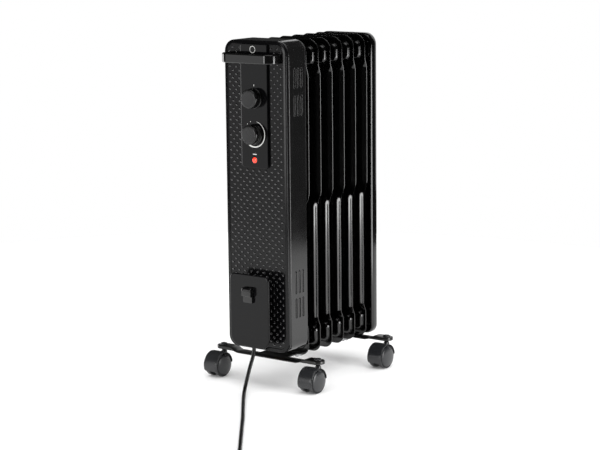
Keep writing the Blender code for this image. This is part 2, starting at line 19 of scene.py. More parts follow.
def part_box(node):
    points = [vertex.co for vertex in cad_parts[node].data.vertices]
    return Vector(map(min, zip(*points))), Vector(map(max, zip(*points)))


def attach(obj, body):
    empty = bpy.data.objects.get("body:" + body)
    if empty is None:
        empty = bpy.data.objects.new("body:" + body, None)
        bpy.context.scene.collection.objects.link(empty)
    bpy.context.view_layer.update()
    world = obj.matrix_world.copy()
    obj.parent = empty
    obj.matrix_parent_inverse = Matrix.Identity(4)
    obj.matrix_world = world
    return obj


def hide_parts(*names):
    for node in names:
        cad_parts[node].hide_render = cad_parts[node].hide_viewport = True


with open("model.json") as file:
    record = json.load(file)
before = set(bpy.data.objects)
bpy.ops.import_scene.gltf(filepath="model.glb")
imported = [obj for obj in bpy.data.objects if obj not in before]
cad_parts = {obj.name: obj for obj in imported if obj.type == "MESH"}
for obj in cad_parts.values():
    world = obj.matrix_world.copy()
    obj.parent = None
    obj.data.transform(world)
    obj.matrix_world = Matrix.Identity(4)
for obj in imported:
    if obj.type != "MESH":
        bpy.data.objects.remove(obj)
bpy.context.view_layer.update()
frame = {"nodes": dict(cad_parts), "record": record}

MM = 0.001
nodes = frame["nodes"]


def new_object(name, data):
    """A new object in the scene."""
    item = bpy.data.objects.new(name, data)
    bpy.context.scene.collection.objects.link(item)
    return item


# %% [markdown]
# ## The camera
#
# A tall object is best seen from a few metres away through a long lens, which keeps its uprights
# nearly parallel. The camera is turned by its azimuth, elevation and a slight roll.

# %% Camera
AZIMUTH, ELEVATION, ROLL = (math.radians(a) for a in (36.59, 10.04, -0.58))
CAMERA_PLACE = (2.0411, -2.7507, 0.8861)  # metres
level = Vector((math.cos(AZIMUTH), math.sin(AZIMUTH), 0.0))
back = Vector((
    math.sin(AZIMUTH) * math.cos(ELEVATION),
    -math.cos(AZIMUTH) * math.cos(ELEVATION),
    math.sin(ELEVATION),
))
upright = back.cross(level)
across = level * math.cos(ROLL) + upright * math.sin(ROLL)
rise = upright * math.cos(ROLL) - level * math.sin(ROLL)

camera = new_object("camera", bpy.data.cameras.new("camera"))
facing = Matrix((across, rise, back)).transposed().to_4x4()
camera.matrix_world = Matrix.Translation(CAMERA_PLACE) @ facing
camera.data.sensor_width = 36.0
camera.data.lens = 111.8
camera.data.clip_end = 50.0
bpy.context.scene.camera = camera
print("camera at", camera.location, "with a", camera.data.lens, "mm lens")

# %% [markdown]
# ## Colours, nodes and finishes
#
# Each finish is one Principled shader with two layers of procedural detail. A fine noise gives a bump
# as deep as the real grain, and a broad, faint one makes the gloss uneven, as hands and dust do. Both
# are set in real millimetres on Object coordinates, so they stay with a piece when it moves.

# %% Colour and node tools
def linear(code):
    """An sRGB hex colour as the linear one that a shader needs."""
    parts = [int(code[i:i + 2], 16) / 255 for i in (1, 3, 5)]
    return (*(c / 12.92 if c <= 0.04045 else ((c + 0.055) / 1.055) ** 2.4 for c in parts), 1.0)


def add(tree, kind, inputs=None, **settings):
    """Adds a node. An input is given a value, or another node's output to link to."""
    made = tree.nodes.new(kind)
    for name, value in settings.items():
        setattr(made, name, value)
    for key, value in (inputs or {}).items():
        if isinstance(value, bpy.types.NodeSocket):
            tree.links.new(value, made.inputs[key])
        else:
            made.inputs[key].default_value = value
    return made


LOOKS = {}  # for each of the record's slots, the finish that a carried-over CAD piece takes


def finish(name, slot, colour, roughness, grain, depth, unevenness=0.04, patch=40.0, values=None):
    """A slot's finish, with a grain, its size and depth in mm, and a gloss that varies over patches."""
    made = bpy.data.materials.new(name)
    made.use_nodes = True
    tree = made.node_tree
    shader = tree.nodes["Principled BSDF"]
    shader.inputs["Base Color"].default_value = linear(colour)
    for key, value in (values or {}).items():
        shader.inputs[key].default_value = value
    place = add(tree, "ShaderNodeTexCoord").outputs["Object"]
    fine = add(tree, "ShaderNodeTexNoise", {"Vector": place, "Scale": 1 / (grain * MM), "Detail": 3.0})
    bump = add(tree, "ShaderNodeBump", {
        "Height": fine.outputs["Fac"], "Distance": depth * MM, "Strength": 1.0,
    })
    broad = add(tree, "ShaderNodeTexNoise", {"Vector": place, "Scale": 1 / (patch * MM), "Detail": 2.0})
    gloss = add(tree, "ShaderNodeMapRange", {
        "Value": broad.outputs["Fac"],
        "From Min": 0.3,
        "From Max": 0.7,
        "To Min": max(roughness - unevenness, 0.02),
        "To Max": roughness + unevenness,
    })
    tree.links.new(bump.outputs["Normal"], shader.inputs["Normal"])
    tree.links.new(gloss.outputs["Result"], shader.inputs["Roughness"])
    LOOKS.setdefault(slot, made)
    print("finish", name)
    return made


# %% Finishes
# Black powder enamel, sprayed and baked on steel: deep gloss over a faint orange peel of about 3 mm.
enamel = finish(
    "gloss_black_enamel", "black_enamel", "#020202", 0.11, 4.0, 0.003, 0.03, values={"IOR": 1.52})
# The housing's sleeve has the same enamel, baked smoother, with a lighter base colour that is painted light: it
# lifts the tone of the dim side walls.
sleeve_enamel_painted_lighter = finish(
    "gloss_black_sleeve_enamel", "black_enamel", "#0d0d0d", 0.12, 4.0, 0.005, 0.03, values={"IOR": 1.52})
# Powder coat on the feet: black, baked thicker, with a broad soft sheen.
powder_coat = finish(
    "satin_black_powder_coat", "black_enamel", "#080808", 0.34, 1.6, 0.020, 0.05, values={"IOR": 1.52})
# Polished ABS of the panel: black, with a very fine texture that softens each reflection a little.
panel_black = finish(
    "polished_black_abs", "satin_plastic", "#070708", 0.17, 0.9, 0.006, 0.03,
    values={"IOR": 1.50, "Specular IOR Level": 0.24})
# The crowns of the raised dots come out of the tool brighter than the flat between them.
dot_black = finish(
    "polished_dot_abs", "satin_plastic", "#070708", 0.10, 0.9, 0.002, 0.02,
    values={"IOR": 1.50, "Specular IOR Level": 1.0})
# The plate behind the knobs is the same ABS from a more highly polished tool.
plate_black = finish(
    "mirror_polished_abs", "satin_plastic", "#070708", 0.07, 0.9, 0.003, 0.02,
    values={"IOR": 1.50, "Specular IOR Level": 0.24})
# Gloss ABS, moulded in a polished tool.
gloss_black = finish(
    "gloss_black_abs", "gloss_plastic", "#070707", 0.12, 4.0, 0.005, 0.02, values={"IOR": 1.53})
# The knobs' barrels are gloss black, and their caps a dark grey, satin moulding.
knob_black = finish(
    "gloss_knob_abs", "knob_plastic", "#050505", 0.18, 0.8, 0.006, 0.03, values={"IOR": 1.50})
cap_grey = finish(
    "satin_grey_cap_abs", "knob_plastic", "#171718", 0.26, 0.6, 0.020, 0.05, values={"IOR": 1.50})
# Glass filled nylon, moulded: dark grey with a soft sheen and a slightly mottled skin.
nylon = finish(
    "dark_grey_nylon", "castor_nylon", "#1e1f21", 0.27, 1.2, 0.010, 0.06, values={"IOR": 1.53})
# Bright zinc plate over steel, passivated: a clear grey metal with a faint crystalline unevenness.
zinc = finish(
    "bright_zinc_plate", "zinc_plate", "#b9babb", 0.28, 1.5, 0.006, 0.08, 12.0, {"Metallic": 1.0})
# Drawn stainless tube for the element.
finish("drawn_stainless", "stainless_sheath", "#a8a59f", 0.32, 0.8, 0.006, 0.06, values={"Metallic": 1.0})
# Turned brass, left raw.
finish("turned_brass", "brass", "#c29a4b", 0.30, 0.9, 0.006, 0.06, values={"Metallic": 1.0})
# Off-white thermoset for the switch bodies: matt, with a powdery skin.
finish("off_white_thermoset", "switch_body", "#d6d3c8", 0.55, 0.8, 0.015, 0.05)
# Soft PVC for the lead: black, with a slightly greasy sheen over the ripple of extrusion.
pvc = finish(
    "soft_black_pvc", "pvc", "#0b0b0b", 0.36, 2.5, 0.015, 0.06,
    values={"IOR": 1.50, "Specular IOR Level": 0.35})
# Red acrylic over a lit neon lamp: clear gloss in front, with light of its own.
red_lens = finish("lit_red_acrylic", "red_lens", "#d8231a", 0.10, 2.0, 0.010, 0.02, values={
    "Emission Color": linear("#ff3a20"),
    "Emission Strength": 1.6,
    "Coat Weight": 0.5,
})
# White pad printing ink: a thin, slightly matt film.
ink = finish("white_pad_print", "satin_plastic", "#d9d9d6", 0.50, 0.6, 0.006, 0.04)
# Woven hook and loop tape for the tie: matt black.
tape = finish("woven_black_tape", "pvc", "#101010", 0.85, 0.9, 0.080, 0.04, values={"Sheen Weight": 0.4})

# %% [markdown]
# ## Shapes
#
# Most parts are an outline carried through a few stations, or a profile turned about an axis. Three
# functions make those, and two turn a finished bmesh into a piece that rides on its body.

# %% Outlines
def arc(centre, radius, start, stop, steps):
    """Points on a circle between two angles in degrees, both ends included."""
    angles = [math.radians(start + (stop - start) * i / steps) for i in range(steps + 1)]
    return [(centre[0] + radius * math.cos(a), centre[1] + radius * math.sin(a)) for a in angles]


def rounded(half_width, low, high, low_radius, high_radius, inset=0.0, steps=8):
    """A rectangle centred on zero with round corners, counter-clockwise from lower right.

    Each straight side gets a point near both its ends, so that it stays flat under smooth shading.
    """
    half_width, low, high = half_width - inset, low + inset, high - inset
    small, large = max(low_radius - inset, 0.4), max(high_radius - inset, 0.4)
    corners = [
        arc((half_width - small, low + small), small, -90, 0, steps),
        arc((half_width - large, high - large), large, 0, 90, steps),
        arc((large - half_width, high - large), large, 90, 180, steps),
        arc((small - half_width, low + small), small, 180, 270, steps),
    ]
    points = []
    for corner, following in zip(corners, corners[1:] + corners[:1]):
        start, stop = Vector(corner[-1]), Vector(following[0])
        share = min(0.6 / max((stop - start).length, 0.001), 0.3)
        points += corner + [tuple(start.lerp(stop, share)), tuple(stop.lerp(start, share))]
    return points


def placed(a, b, c, along):
    """A point whose c runs along the named axis, and whose a and b lie across it."""
    return {"X": (c, a, b), "Y": (a, c, b), "Z": (a, b, c)}[along]


# %% Solids
def skin(bm, rings, closed=False):
    """Faces between rings of points, which meet end to end if closed, or else are capped."""
    rows = [[bm.verts.new(point) for point in ring] for ring in rings]
    pairs = list(zip(rows, rows[1:]))
    if closed:
        pairs.append((rows[-1], rows[0]))
    for near, far in pairs:
        for i in range(len(near)):
            bm.faces.new((near[i - 1], near[i], far[i], far[i - 1]))
    if not closed:
        bm.faces.new(rows[0])
        bm.faces.new(rows[-1])


def framed(outline, profile, closed=False, bm=None):
    """A profile of (inset, y) carried round an outline that faces the viewer."""
    bm = bmesh.new() if bm is None else bm
    skin(bm, [[(a, y, b) for a, b in outline(inset)] for inset, y in profile], closed)
    return bm


def turned(bm, profile, segments=32, along="Z", at=(0, 0, 0)):
    """A profile of (radius, height) turned about an axis. It ends on the axis, or closes on itself."""
    rows = []
    for radius, height in profile:
        count = segments if radius else 1
        turns = [2 * math.pi * i / count for i in range(count)]
        points = [placed(radius * math.cos(t), radius * math.sin(t), height, along) for t in turns]
        rows.append([bm.verts.new(Vector(p) + Vector(at)) for p in points])
    pairs = list(zip(rows, rows[1:]))
    if len(rows[0]) > 1:
        pairs.append((rows[-1], rows[0]))
    for low, high in pairs:
        for i in range(segments):
            j = (i + 1) % segments
            corners = (low[i % len(low)], low[j % len(low)], high[j % len(high)], high[i % len(high)])
            bm.faces.new(list(dict.fromkeys(corners)))


def mesh_of(bm, name, smooth=35):
    """A bmesh in millimetres as a closed mesh in metres, its faces pointing out."""
    bmesh.ops.remove_doubles(bm, verts=bm.verts, dist=0.001)
    bmesh.ops.recalc_face_normals(bm, faces=bm.faces)
    bmesh.ops.scale(bm, vec=(MM, MM, MM), verts=bm.verts)
    mesh = bpy.data.meshes.new(name)
    bm.to_mesh(mesh)
    bm.free()
    mesh.shade_smooth()
    mesh.set_sharp_from_angle(angle=math.radians(smooth))
    for face in mesh.polygons:
        face.use_smooth = len(face.vertices) <= 4
    return mesh


def settle(name, shape, look, body="root", replaces=(), smooth=35):
    """Makes a mesh or bmesh a piece: its finish, the body it rides on and the CAD nodes it stands for."""
    mesh = mesh_of(shape, name, smooth) if isinstance(shape, bmesh.types.BMesh) else shape
    item = new_object(name, mesh)
    mesh.materials.clear()
    mesh.materials.append(look)
    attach(item, body)
    if replaces:
        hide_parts(*replaces)
    print(f"{name}: {len(mesh.polygons)} faces on {body}")
    return item


def stand_in(name, shape, look, smooth=35, body="root"):
    """Makes a shape the piece that stands for the CAD node of the same name."""
    return settle(name, shape, look, body=body, replaces=[name], smooth=smooth)


# %% [markdown]
# ## The power lead
#
# The lead is 7 mm PVC flex. It leaves a tapered strain relief under the cord winder, drops to the
# floor in front of the heater and runs off towards the viewer. Its length is what such a heater has,
# 1.5 m, and its far part is wound into a coil. A Bezier curve with a round bevel follows the route,
# which is the CAD route in the same numbers.

# %% Lead route
CORD_DIAMETER = 7.0
ON_FLOOR = 3.6  # the height of the lead's middle where it lies on the floor
CORD_ROUTE = [
    (0.0, -146.0, 77.4), (0.0, -146.0, 69.0), (0.0, -150.0, 56.5), (0.2, -157.6, 43.0),
    (1.4, -165.6, 30.0), (4.4, -175.2, 18.0), (10.0, -187.0, 8.6), (19.0, -201.0, 4.2),
    (30.0, -216.0, ON_FLOOR), (48.0, -240.0, ON_FLOOR), (68.0, -266.0, ON_FLOOR),
    (90.0, -294.5, ON_FLOOR), *((114.0 + 25.0 * k, -325.5 - 33.5 * k, ON_FLOOR) for k in range(7)),
    (280.3, -548.4, ON_FLOOR),
]
COIL_RADII = (33.4, 40.6)
COIL_LAYERS = (4.4, 11.6, 18.6)  # two layers of turns, and the last turn's climb over them
COIL_REACH = 24.87  # from the end of the route to where the lead meets the coil
route_end = Vector(CORD_ROUTE[-1])
heading = (route_end - Vector(CORD_ROUTE[-2])).normalized()
sideways = Vector((heading.y, -heading.x, 0))
coil_entry = route_end + heading * COIL_REACH
coil_centre = coil_entry + sideways * COIL_RADII[1]


def coil_point(turn, radius, height):
    """A point on the coil, which winds clockwise from where the lead comes in."""
    angle = 2 * math.pi * turn
    across_coil = -sideways * math.cos(angle) + heading * math.sin(angle)
    point = coil_centre + across_coil * radius
    return (point.x, point.y, height)


# Each turn takes a free place beside or over the others, so no two stretches share one. The keys
# give the turns at which a shift starts and ends, then the radius and the height that it reaches.
inner, outer = COIL_RADII
low, high, top = COIL_LAYERS
COIL_SHIFTS = [
    (0.00, 0.08, outer, low),
    (0.82, 0.97, inner, low),
    (1.68, 1.82, inner, high),
    (2.54, 2.68, outer, high),
    (3.38, 3.53, outer, top),
]


def coil_line(steps=24, turns=4):
    points = []
    for k in range(1, steps * turns + 1):
        turn = k / steps
        radius, height = outer, route_end.z
        for start, stop, new_radius, new_height in COIL_SHIFTS:
            share = min(max((turn - start) / (stop - start), 0.0), 1.0)
            share = share * share * (3 - 2 * share)
            radius += (new_radius - radius) * share
            height += (new_height - height) * share
        points.append(coil_point(turn, radius, height))
    return points


# %% Lead, its tie and strain relief
PLUG_START = 27.0  # past the point where the lead leaves the coil
plug_place = coil_entry + heading * PLUG_START
plug_place.z = top
lead_points = CORD_ROUTE + [tuple(route_end + heading * COIL_REACH)] + coil_line()
lead_points += [tuple(plug_place + heading * past) for past in (-13, 3)]

curve = bpy.data.curves.new("power_lead", "CURVE")
curve.dimensions = "3D"
curve.bevel_depth = CORD_DIAMETER / 2 * MM
curve.bevel_resolution = 4
curve.resolution_u = 4
curve.use_fill_caps = True
spline = curve.splines.new("BEZIER")
spline.bezier_points.add(len(lead_points) - 1)
for target, point in zip(spline.bezier_points, lead_points):
    target.co = Vector(point) * MM
    target.handle_left_type = target.handle_right_type = "AUTO"
curve.materials.append(pvc)
power_lead = new_object("power_lead", curve)
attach(power_lead, "root")
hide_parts("power_cord", "cord_coil")

# %% Plug
# A round two-pin plug lies beside the coil. Its boot is ringed and its pins are nickel plated.
PLUG_LENGTH, PIN_LENGTH, PIN_HALF_SPACING, PIN_RADIUS = 56.0, 19.0, 9.5, 2.4
plug_turn = Matrix((sideways, heading.cross(sideways), heading)).transposed().to_4x4()
plug_matrix = Matrix.Translation(plug_place) @ plug_turn


def ringed(start, stop, count, pitch, radius, growth, depth, height):
    """Rings moulded round a soft sleeve, between a few points that start and stop its profile."""
    profile = list(start[1:])
    for k in range(count):
        low_end, wide = start[0] + k * pitch, radius + growth * k
        narrow = wide - depth
        profile += [(wide, low_end), (wide, low_end + 1.6)]
        profile += [(narrow, low_end + 1.9), (narrow, low_end + height)]
    return profile + stop


grip = [(8.0, 18.0), (10.0, 24.0), (13.6, 31.0), (17.0, 38.0), (18.2, 44.0), (18.2, 54.6), (17.6, 56.0)]
grip += [(15.5, 56.0), (15.2, 54.0), (0, 54.0)]
bm = bmesh.new()
turned(bm, ringed((1.5, (0, 0), (4.2, 0.0), (4.7, 0.6)), grip, 5, 3.0, 4.8, 0.3, 0.7, 2.7), 40)
bmesh.ops.transform(bm, matrix=plug_matrix, verts=bm.verts)
plug_body = settle("plug_body", bm, pvc, replaces=["plug"])

bm = bmesh.new()
tip = PLUG_LENGTH + PIN_LENGTH
pin = [(0, 50), (PIN_RADIUS, 50), (PIN_RADIUS, tip - 1.4), (PIN_RADIUS * 0.7, tip - 0.3), (0, tip)]
for side in (-1, 1):
    turned(bm, pin, 16, at=(side * PIN_HALF_SPACING, 0, 0))
bmesh.ops.transform(bm, matrix=plug_matrix, verts=bm.verts)
plug_pins = settle("plug_pins", bm, zinc)

# A strip of hook and loop tape is wrapped once round all four strands, where they lie in order.
TIE_WIDTH, TIE_THICKNESS, TIE_TURN, TIE_CORNER = 14.0, 0.6, 0.25, 3.6
tie_place = Vector(coil_point(TIE_TURN, sum(COIL_RADII) / 2, (low + high) / 2))
tie_out = (tie_place - Vector((coil_centre.x, coil_centre.y, tie_place.z))).normalized()
tie_along = Vector((0, 0, 1)).cross(tie_out)
half = CORD_DIAMETER + 0.15
rings = []
for offset in (-TIE_WIDTH / 2, TIE_WIDTH / 2):
    for grow in ((0.0, TIE_THICKNESS) if offset < 0 else (TIE_THICKNESS, 0.0)):
        reach, radius = half + grow, TIE_CORNER + grow
        loop = rounded(reach, -reach, reach, radius, radius)
        rings.append([tie_place + tie_out * a + Vector((0, 0, b)) + tie_along * offset for a, b in loop])
bm = bmesh.new()
skin(bm, rings, closed=True)
cord_tie = settle("cord_tie", bm, tape)

# %% [markdown]
# ## Geometry Nodes tools
#
# What repeats on the heater, from its fins to the dots on its front, is made by Geometry Nodes. Each
# tree has named inputs for its sizes, and its result is kept as a plain mesh.

# %% Tree and result
def geometry_tree(name, inputs):
    """An empty tree with named inputs, and the sockets that they come out of."""
    tree = bpy.data.node_groups.new(name, "GeometryNodeTree")
    tree.interface.new_socket("Geometry", in_out="INPUT", socket_type="NodeSocketGeometry")
    for label, kind in inputs.items():
        tree.interface.new_socket(label, in_out="INPUT", socket_type="NodeSocket" + kind)
    tree.interface.new_socket("Geometry", in_out="OUTPUT", socket_type="NodeSocketGeometry")
    return tree, add(tree, "NodeGroupInput").outputs


def end_tree(tree, points, piece, finish_input, **more):
    """Puts a piece on every point, makes it real geometry and gives it its finish."""
    spread = add(tree, "GeometryNodeInstanceOnPoints", {"Points": points, "Instance": piece, **more})
    real = add(tree, "GeometryNodeRealizeInstances", {"Geometry": spread.outputs[0]})
    coated = add(tree, "GeometryNodeSetMaterial", {"Geometry": real.outputs[0], "Material": finish_input})
    add(tree, "NodeGroupOutput", {"Geometry": coated.outputs[0]})


def calc(tree, operation, *values):
    """The result of a math node."""
    return add(tree, "ShaderNodeMath", dict(enumerate(values)), operation=operation).outputs[0]


def baked(item):
    """The mesh that an object's modifiers make of it. The object itself is removed."""
    made = bpy.data.meshes.new_from_object(item.evaluated_get(bpy.context.evaluated_depsgraph_get()))
    bpy.data.objects.remove(item)
    return made


def grown(mesh, tree, values):
    """Runs a tree on a mesh, and returns the result as a plain mesh."""
    item = new_object(tree.name, mesh)
    modifier = item.modifiers.new(tree.name, "NODES")
    modifier.node_group = tree
    for socket in tree.interface.items_tree:
        if socket.in_out == "INPUT" and socket.name in values:
            modifier[socket.identifier] = values[socket.name]
    return baked(item)


# %% [markdown]
# ## The fins
#
# Each fin is two pressed steel sheets welded at their rims. Oil fills the long headers at top and
# bottom and the three channels between them, and the free edges are bent into wings, forward below and
# back above, to lead the air. One sheet is worked out as a grid whose height is the pressing, and the
# headers are lofted through it with steeper sides than a grid could hold. A tree then bends the wings
# by rule, with smooth ramps over the height, and repeats the fin at its pitch.

# %% Fin sizes, from the CAD
FIN_PITCH = 37.15
FIN_HALF_WIDTH, FIN_TOP, FIN_BOTTOM = 62.8, 630.0, 50.0
FIN_TOP_RADIUS, FIN_BOTTOM_RADIUS = 22.0, 18.0
SHEET, FOLD_LINE = 2.2, 47.7
HEADERS = ((600.0, 54.0, 17.5), (81.0, 57.0, 19.0))  # height, half length, half height
HEADER_BULGE, CHANNEL_BULGE = 7.0, 4.5
CHANNELS, CHANNEL_HALF_WIDTH, CHANNEL_SLOPE = (-21.5, 0.0, 21.5), 9.8, 5.0
LAST_FIN_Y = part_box("fin_7")[1].y / MM - HEADER_BULGE


def fin_y(number):
    """The middle plane of a fin, numbered from 1 at the control end."""
    return LAST_FIN_Y - (7 - number) * FIN_PITCH


def ramp(value):
    value = min(max(value, 0.0), 1.0)
    return value * value * (3 - 2 * value)


def from_edge(x, z, inset):
    """How far a point on a fin is inside its rounded outline."""
    radius = FIN_TOP_RADIUS if z > (FIN_TOP + FIN_BOTTOM) / 2 else FIN_BOTTOM_RADIUS
    radius -= inset
    to_side = FIN_HALF_WIDTH - inset - abs(x)
    to_end = min(z - FIN_BOTTOM, FIN_TOP - z) - inset
    if to_side < radius and to_end < radius:
        return radius - math.hypot(radius - to_side, radius - to_end)
    return min(to_side, to_end)


def pressing(x, z, inset):
    """How far the sheet's face stands from the fin's middle plane."""
    half = SHEET / 2
    edge = from_edge(x, z, inset)
    if edge < half:
        return half * math.sqrt(max(1 - (1 - edge / half) ** 2, 0.0))
    nearest = min(abs(x - centre) for centre in CHANNELS)
    if nearest > CHANNEL_HALF_WIDTH or not HEADERS[1][0] < z < HEADERS[0][0]:
        return half
    return half + (CHANNEL_BULGE - half) * ramp((CHANNEL_HALF_WIDTH - nearest) / CHANNEL_SLOPE)


# %% The pressed sheet
EDGE_STEPS = (0.0, 0.07, 0.26, 0.55, 0.9)  # rounds the welded edge


def spaced(start, stop, step):
    count = max(round(abs(stop - start) / step), 1)
    return [start + (stop - start) * i / count for i in range(count)]


def fin_rows(inset):
    """Heights for the grid's rows, close together where the sheet is bent or pressed."""
    low, high = FIN_BOTTOM + inset, FIN_TOP - inset
    rows = [low + d for d in EDGE_STEPS] + spaced(low + 2.0, 70, 2.0) + spaced(70, 98, 7)
    rows += spaced(98, 116, 2) + spaced(116, 322, 26) + spaced(322, 356, 2.0) + spaced(356, 562, 26)
    rows += spaced(562, 592, 2) + spaced(592, 606, 5) + spaced(606, high - 2.0, 2.0)
    return rows + [high - d for d in reversed(EDGE_STEPS)]


def half_width_at(z, inset):
    """Half the fin's width at a height, which shrinks round the corners."""
    half = FIN_HALF_WIDTH - inset
    for radius, to_end in ((FIN_TOP_RADIUS, FIN_TOP - z), (FIN_BOTTOM_RADIUS, z - FIN_BOTTOM)):
        radius, to_end = radius - inset, to_end - inset
        if to_end < radius:
            return half - radius + math.sqrt(max(radius ** 2 - (radius - to_end) ** 2, 0.0))
    return half


HEADER_PRESSING = [  # (inset, distance from the middle plane), from the crown down a steep side
    (9.5, 7.0), (5.5, 6.97), (4.4, 6.83), (3.4, 6.45), (2.5, 5.8), (1.8, 5.0), (1.2, 4.0), (0.7, 2.9),
    (0.4, 1.9), (0.2, 1.2), (-0.5, 0.7),
]
HEADER_CORNER = 11.0


def add_header(bm, height, half_length, half_height):
    """A long oil header, pressed out of both sheets."""
    size = (half_length, height - half_height, height + half_height, HEADER_CORNER, HEADER_CORNER)
    profile = [(inset, -out) for inset, out in HEADER_PRESSING]
    profile += [(inset, out) for inset, out in reversed(HEADER_PRESSING)]
    framed(lambda inset: rounded(*size, inset, 12), profile, bm=bm)


def fin_sheet(inset=0.0):
    """Both faces of a fin as one closed mesh, its wings still flat."""
    whole = FIN_HALF_WIDTH - inset - SHEET / 2
    inner_xs = spaced(-whole, -FOLD_LINE, 2.6) + spaced(-FOLD_LINE, FOLD_LINE, 1.8)
    inner_xs += spaced(FOLD_LINE, whole, 2.6) + [whole]
    bm = bmesh.new()
    grids = []
    for face in (-1, 1):
        grid = []
        for z in fin_rows(inset):
            half = half_width_at(z, inset)
            xs = [-half + d for d in EDGE_STEPS[:-1]] + [x * (half - SHEET / 2) / whole for x in inner_xs]
            xs += [half - d for d in reversed(EDGE_STEPS[:-1])]
            grid.append([bm.verts.new((x, face * pressing(x, z, inset), z)) for x in xs])
        grids.append(grid)
    for grid in grids:
        for low_row, high_row in zip(grid, grid[1:]):
            for i in range(len(low_row) - 1):
                bm.faces.new((low_row[i], low_row[i + 1], high_row[i + 1], high_row[i]))
    for header in HEADERS:
        add_header(bm, *header)
    return bm


# %% The fin tree
WING_RAMPS = ((99.0, 116.0), (322.0, 354.0), (564.0, 589.0))
FORWARD_BEND, BACK_BEND = 7.0, 6.5
WING_CURL = 1.35  # the power that curves a wing from its fold to its edge


def make_fin_tree():
    tree, given = geometry_tree("fin_row", {
        "Count": "Int", "First": "Float", "Pitch": "Float", "Fold Line": "Float",
        "Half Width": "Float", "Forward Bend": "Float", "Back Bend": "Float", "Finish": "Material",
    })
    position = add(tree, "GeometryNodeInputPosition").outputs[0]
    where = add(tree, "ShaderNodeSeparateXYZ", {0: position}).outputs
    side = calc(tree, "ABSOLUTE", where["X"])
    folded = add(tree, "ShaderNodeMapRange", {
        "Value": side, "From Min": given["Fold Line"], "From Max": given["Half Width"],
    }).outputs[0]
    share = calc(tree, "POWER", folded, WING_CURL)
    forward = calc(tree, "MULTIPLY", given["Forward Bend"], -1.0)
    swing = calc(tree, "ADD", given["Forward Bend"], given["Back Bend"])
    home = calc(tree, "MULTIPLY", given["Back Bend"], -1.0)
    bend = None
    for (start, stop), amount in zip(WING_RAMPS, (forward, swing, home)):
        rising = add(tree, "ShaderNodeMapRange", {
            "Value": where["Z"], "From Min": start * MM, "From Max": stop * MM,
        }, interpolation_type="SMOOTHSTEP").outputs[0]
        part = calc(tree, "MULTIPLY", rising, amount)
        bend = part if bend is None else calc(tree, "ADD", bend, part)
    moved = calc(tree, "MULTIPLY", bend, share)
    offset = add(tree, "ShaderNodeCombineXYZ", {"Y": moved}).outputs[0]
    bent = add(tree, "GeometryNodeSetPosition", {"Geometry": given["Geometry"], "Offset": offset}).outputs[0]
    start = add(tree, "ShaderNodeCombineXYZ", {"Y": given["First"]}).outputs[0]
    step = add(tree, "ShaderNodeCombineXYZ", {"Y": given["Pitch"]}).outputs[0]
    line = add(tree, "GeometryNodeMeshLine", {
        "Count": given["Count"], "Start Location": start, "Offset": step,
    }).outputs[0]
    end_tree(tree, line, bent, given["Finish"])
    return tree


fin_tree = make_fin_tree()


def fin_piece(name, bm, first, count, bends, replaces=(), smooth=50):
    """One or more fins, bent and repeated by the tree."""
    mesh = grown(mesh_of(bm, name, smooth), fin_tree, {
        "Count": count,
        "First": first * MM,
        "Pitch": FIN_PITCH * MM,
        "Fold Line": FOLD_LINE * MM,
        "Half Width": FIN_HALF_WIDTH * MM,
        "Forward Bend": bends[0] * MM,
        "Back Bend": bends[1] * MM,
        "Finish": enamel,
    })
    return settle(name, mesh, enamel, replaces=replaces)


# %% Six winged fins
BENDS = (FORWARD_BEND, BACK_BEND)
FLAT = (0.0, 0.0)
first_sheet = fin_sheet()
collar = [(0, -12), (18.6, -12), (19, -11.6), (19, -8.2), (19.8, -7.2), (21.5, -6.6), (0, -6.6)]
turned(first_sheet, collar, 40, "Y", (0, 0, HEADERS[1][0]))
fin_piece("first_fin", first_sheet, fin_y(1), 1, BENDS, ["fin_1"])
fin_piece("inner_fins", fin_sheet(), fin_y(2), 5, BENDS, [f"fin_{i}" for i in range(2, 7)])

# %% [markdown]
# The last fin closes the stack. Its sheet has no wings: its rim is folded forward into a tray, and the
# tray's lip is flattened at a slant that catches the light all the way down.

# %% The last fin and the welded necks
RIM_INSET = 1.2
rim_profile = [  # (inset, y), from the sheet round the outside to the slanted lip and back inside
    (2.9, 0.9), (1.4, 0.9), (0.45, 0.45), (0.0, -0.6), (0.0, -11.0), (0.14, -11.6), (1.43, -14.5),
    (1.75, -14.95), (2.4, -15.2), (3.2, -15.1), (3.7, -14.4), (3.6, -13.2), (2.6, -12.4), (1.8, -11.4),
    (1.8, -2.0), (2.9, -0.9),
]
rim = (FIN_HALF_WIDTH, FIN_BOTTOM, FIN_TOP, FIN_BOTTOM_RADIUS, FIN_TOP_RADIUS)
last_fin = framed(lambda inset: rounded(*rim, inset), rim_profile, True, fin_sheet(RIM_INSET))
fin_piece("last_fin", last_fin, fin_y(7), 1, FLAT, ["fin_7"])

# The headers are joined by short necks that carry the oil from fin to fin.
neck = [(0, 6.4), (21.6, 6.4), (20.0, 7.2), (19.2, 8.6), (19.0, 10.5)]
neck += [(radius, FIN_PITCH - y) for radius, y in reversed(neck)]
necks = bmesh.new()
for height, _, _ in HEADERS:
    turned(necks, neck, 40, "Y", (0, 0, height))
fin_piece("welded_necks", necks, fin_y(1), 6, FLAT)

# %% [markdown]
# ## The control housing
#
# A sleeve of 1.2 mm enamelled sheet stands off the first fin. Both its sides have four banks of narrow
# slots that let the warm air out. The sleeve is an edge profile carried round the outline. The slots
# are placed by Geometry Nodes and cut in one Boolean. A raised lip is pressed round each, and a thin
# bar stands behind its middle.

# %% Housing sleeve
FACE_Y, HOUSING_REAR_Y = -131.5, -72.6
HOUSING = (69.2, 68.0, 632.5, 20.0, 22.0)  # half width, bottom, top, bottom and top corner radius
SLEEVE_FRONT_Y = FACE_Y + 8.3


def housing_outline(inset):
    return rounded(*HOUSING, inset, 10)


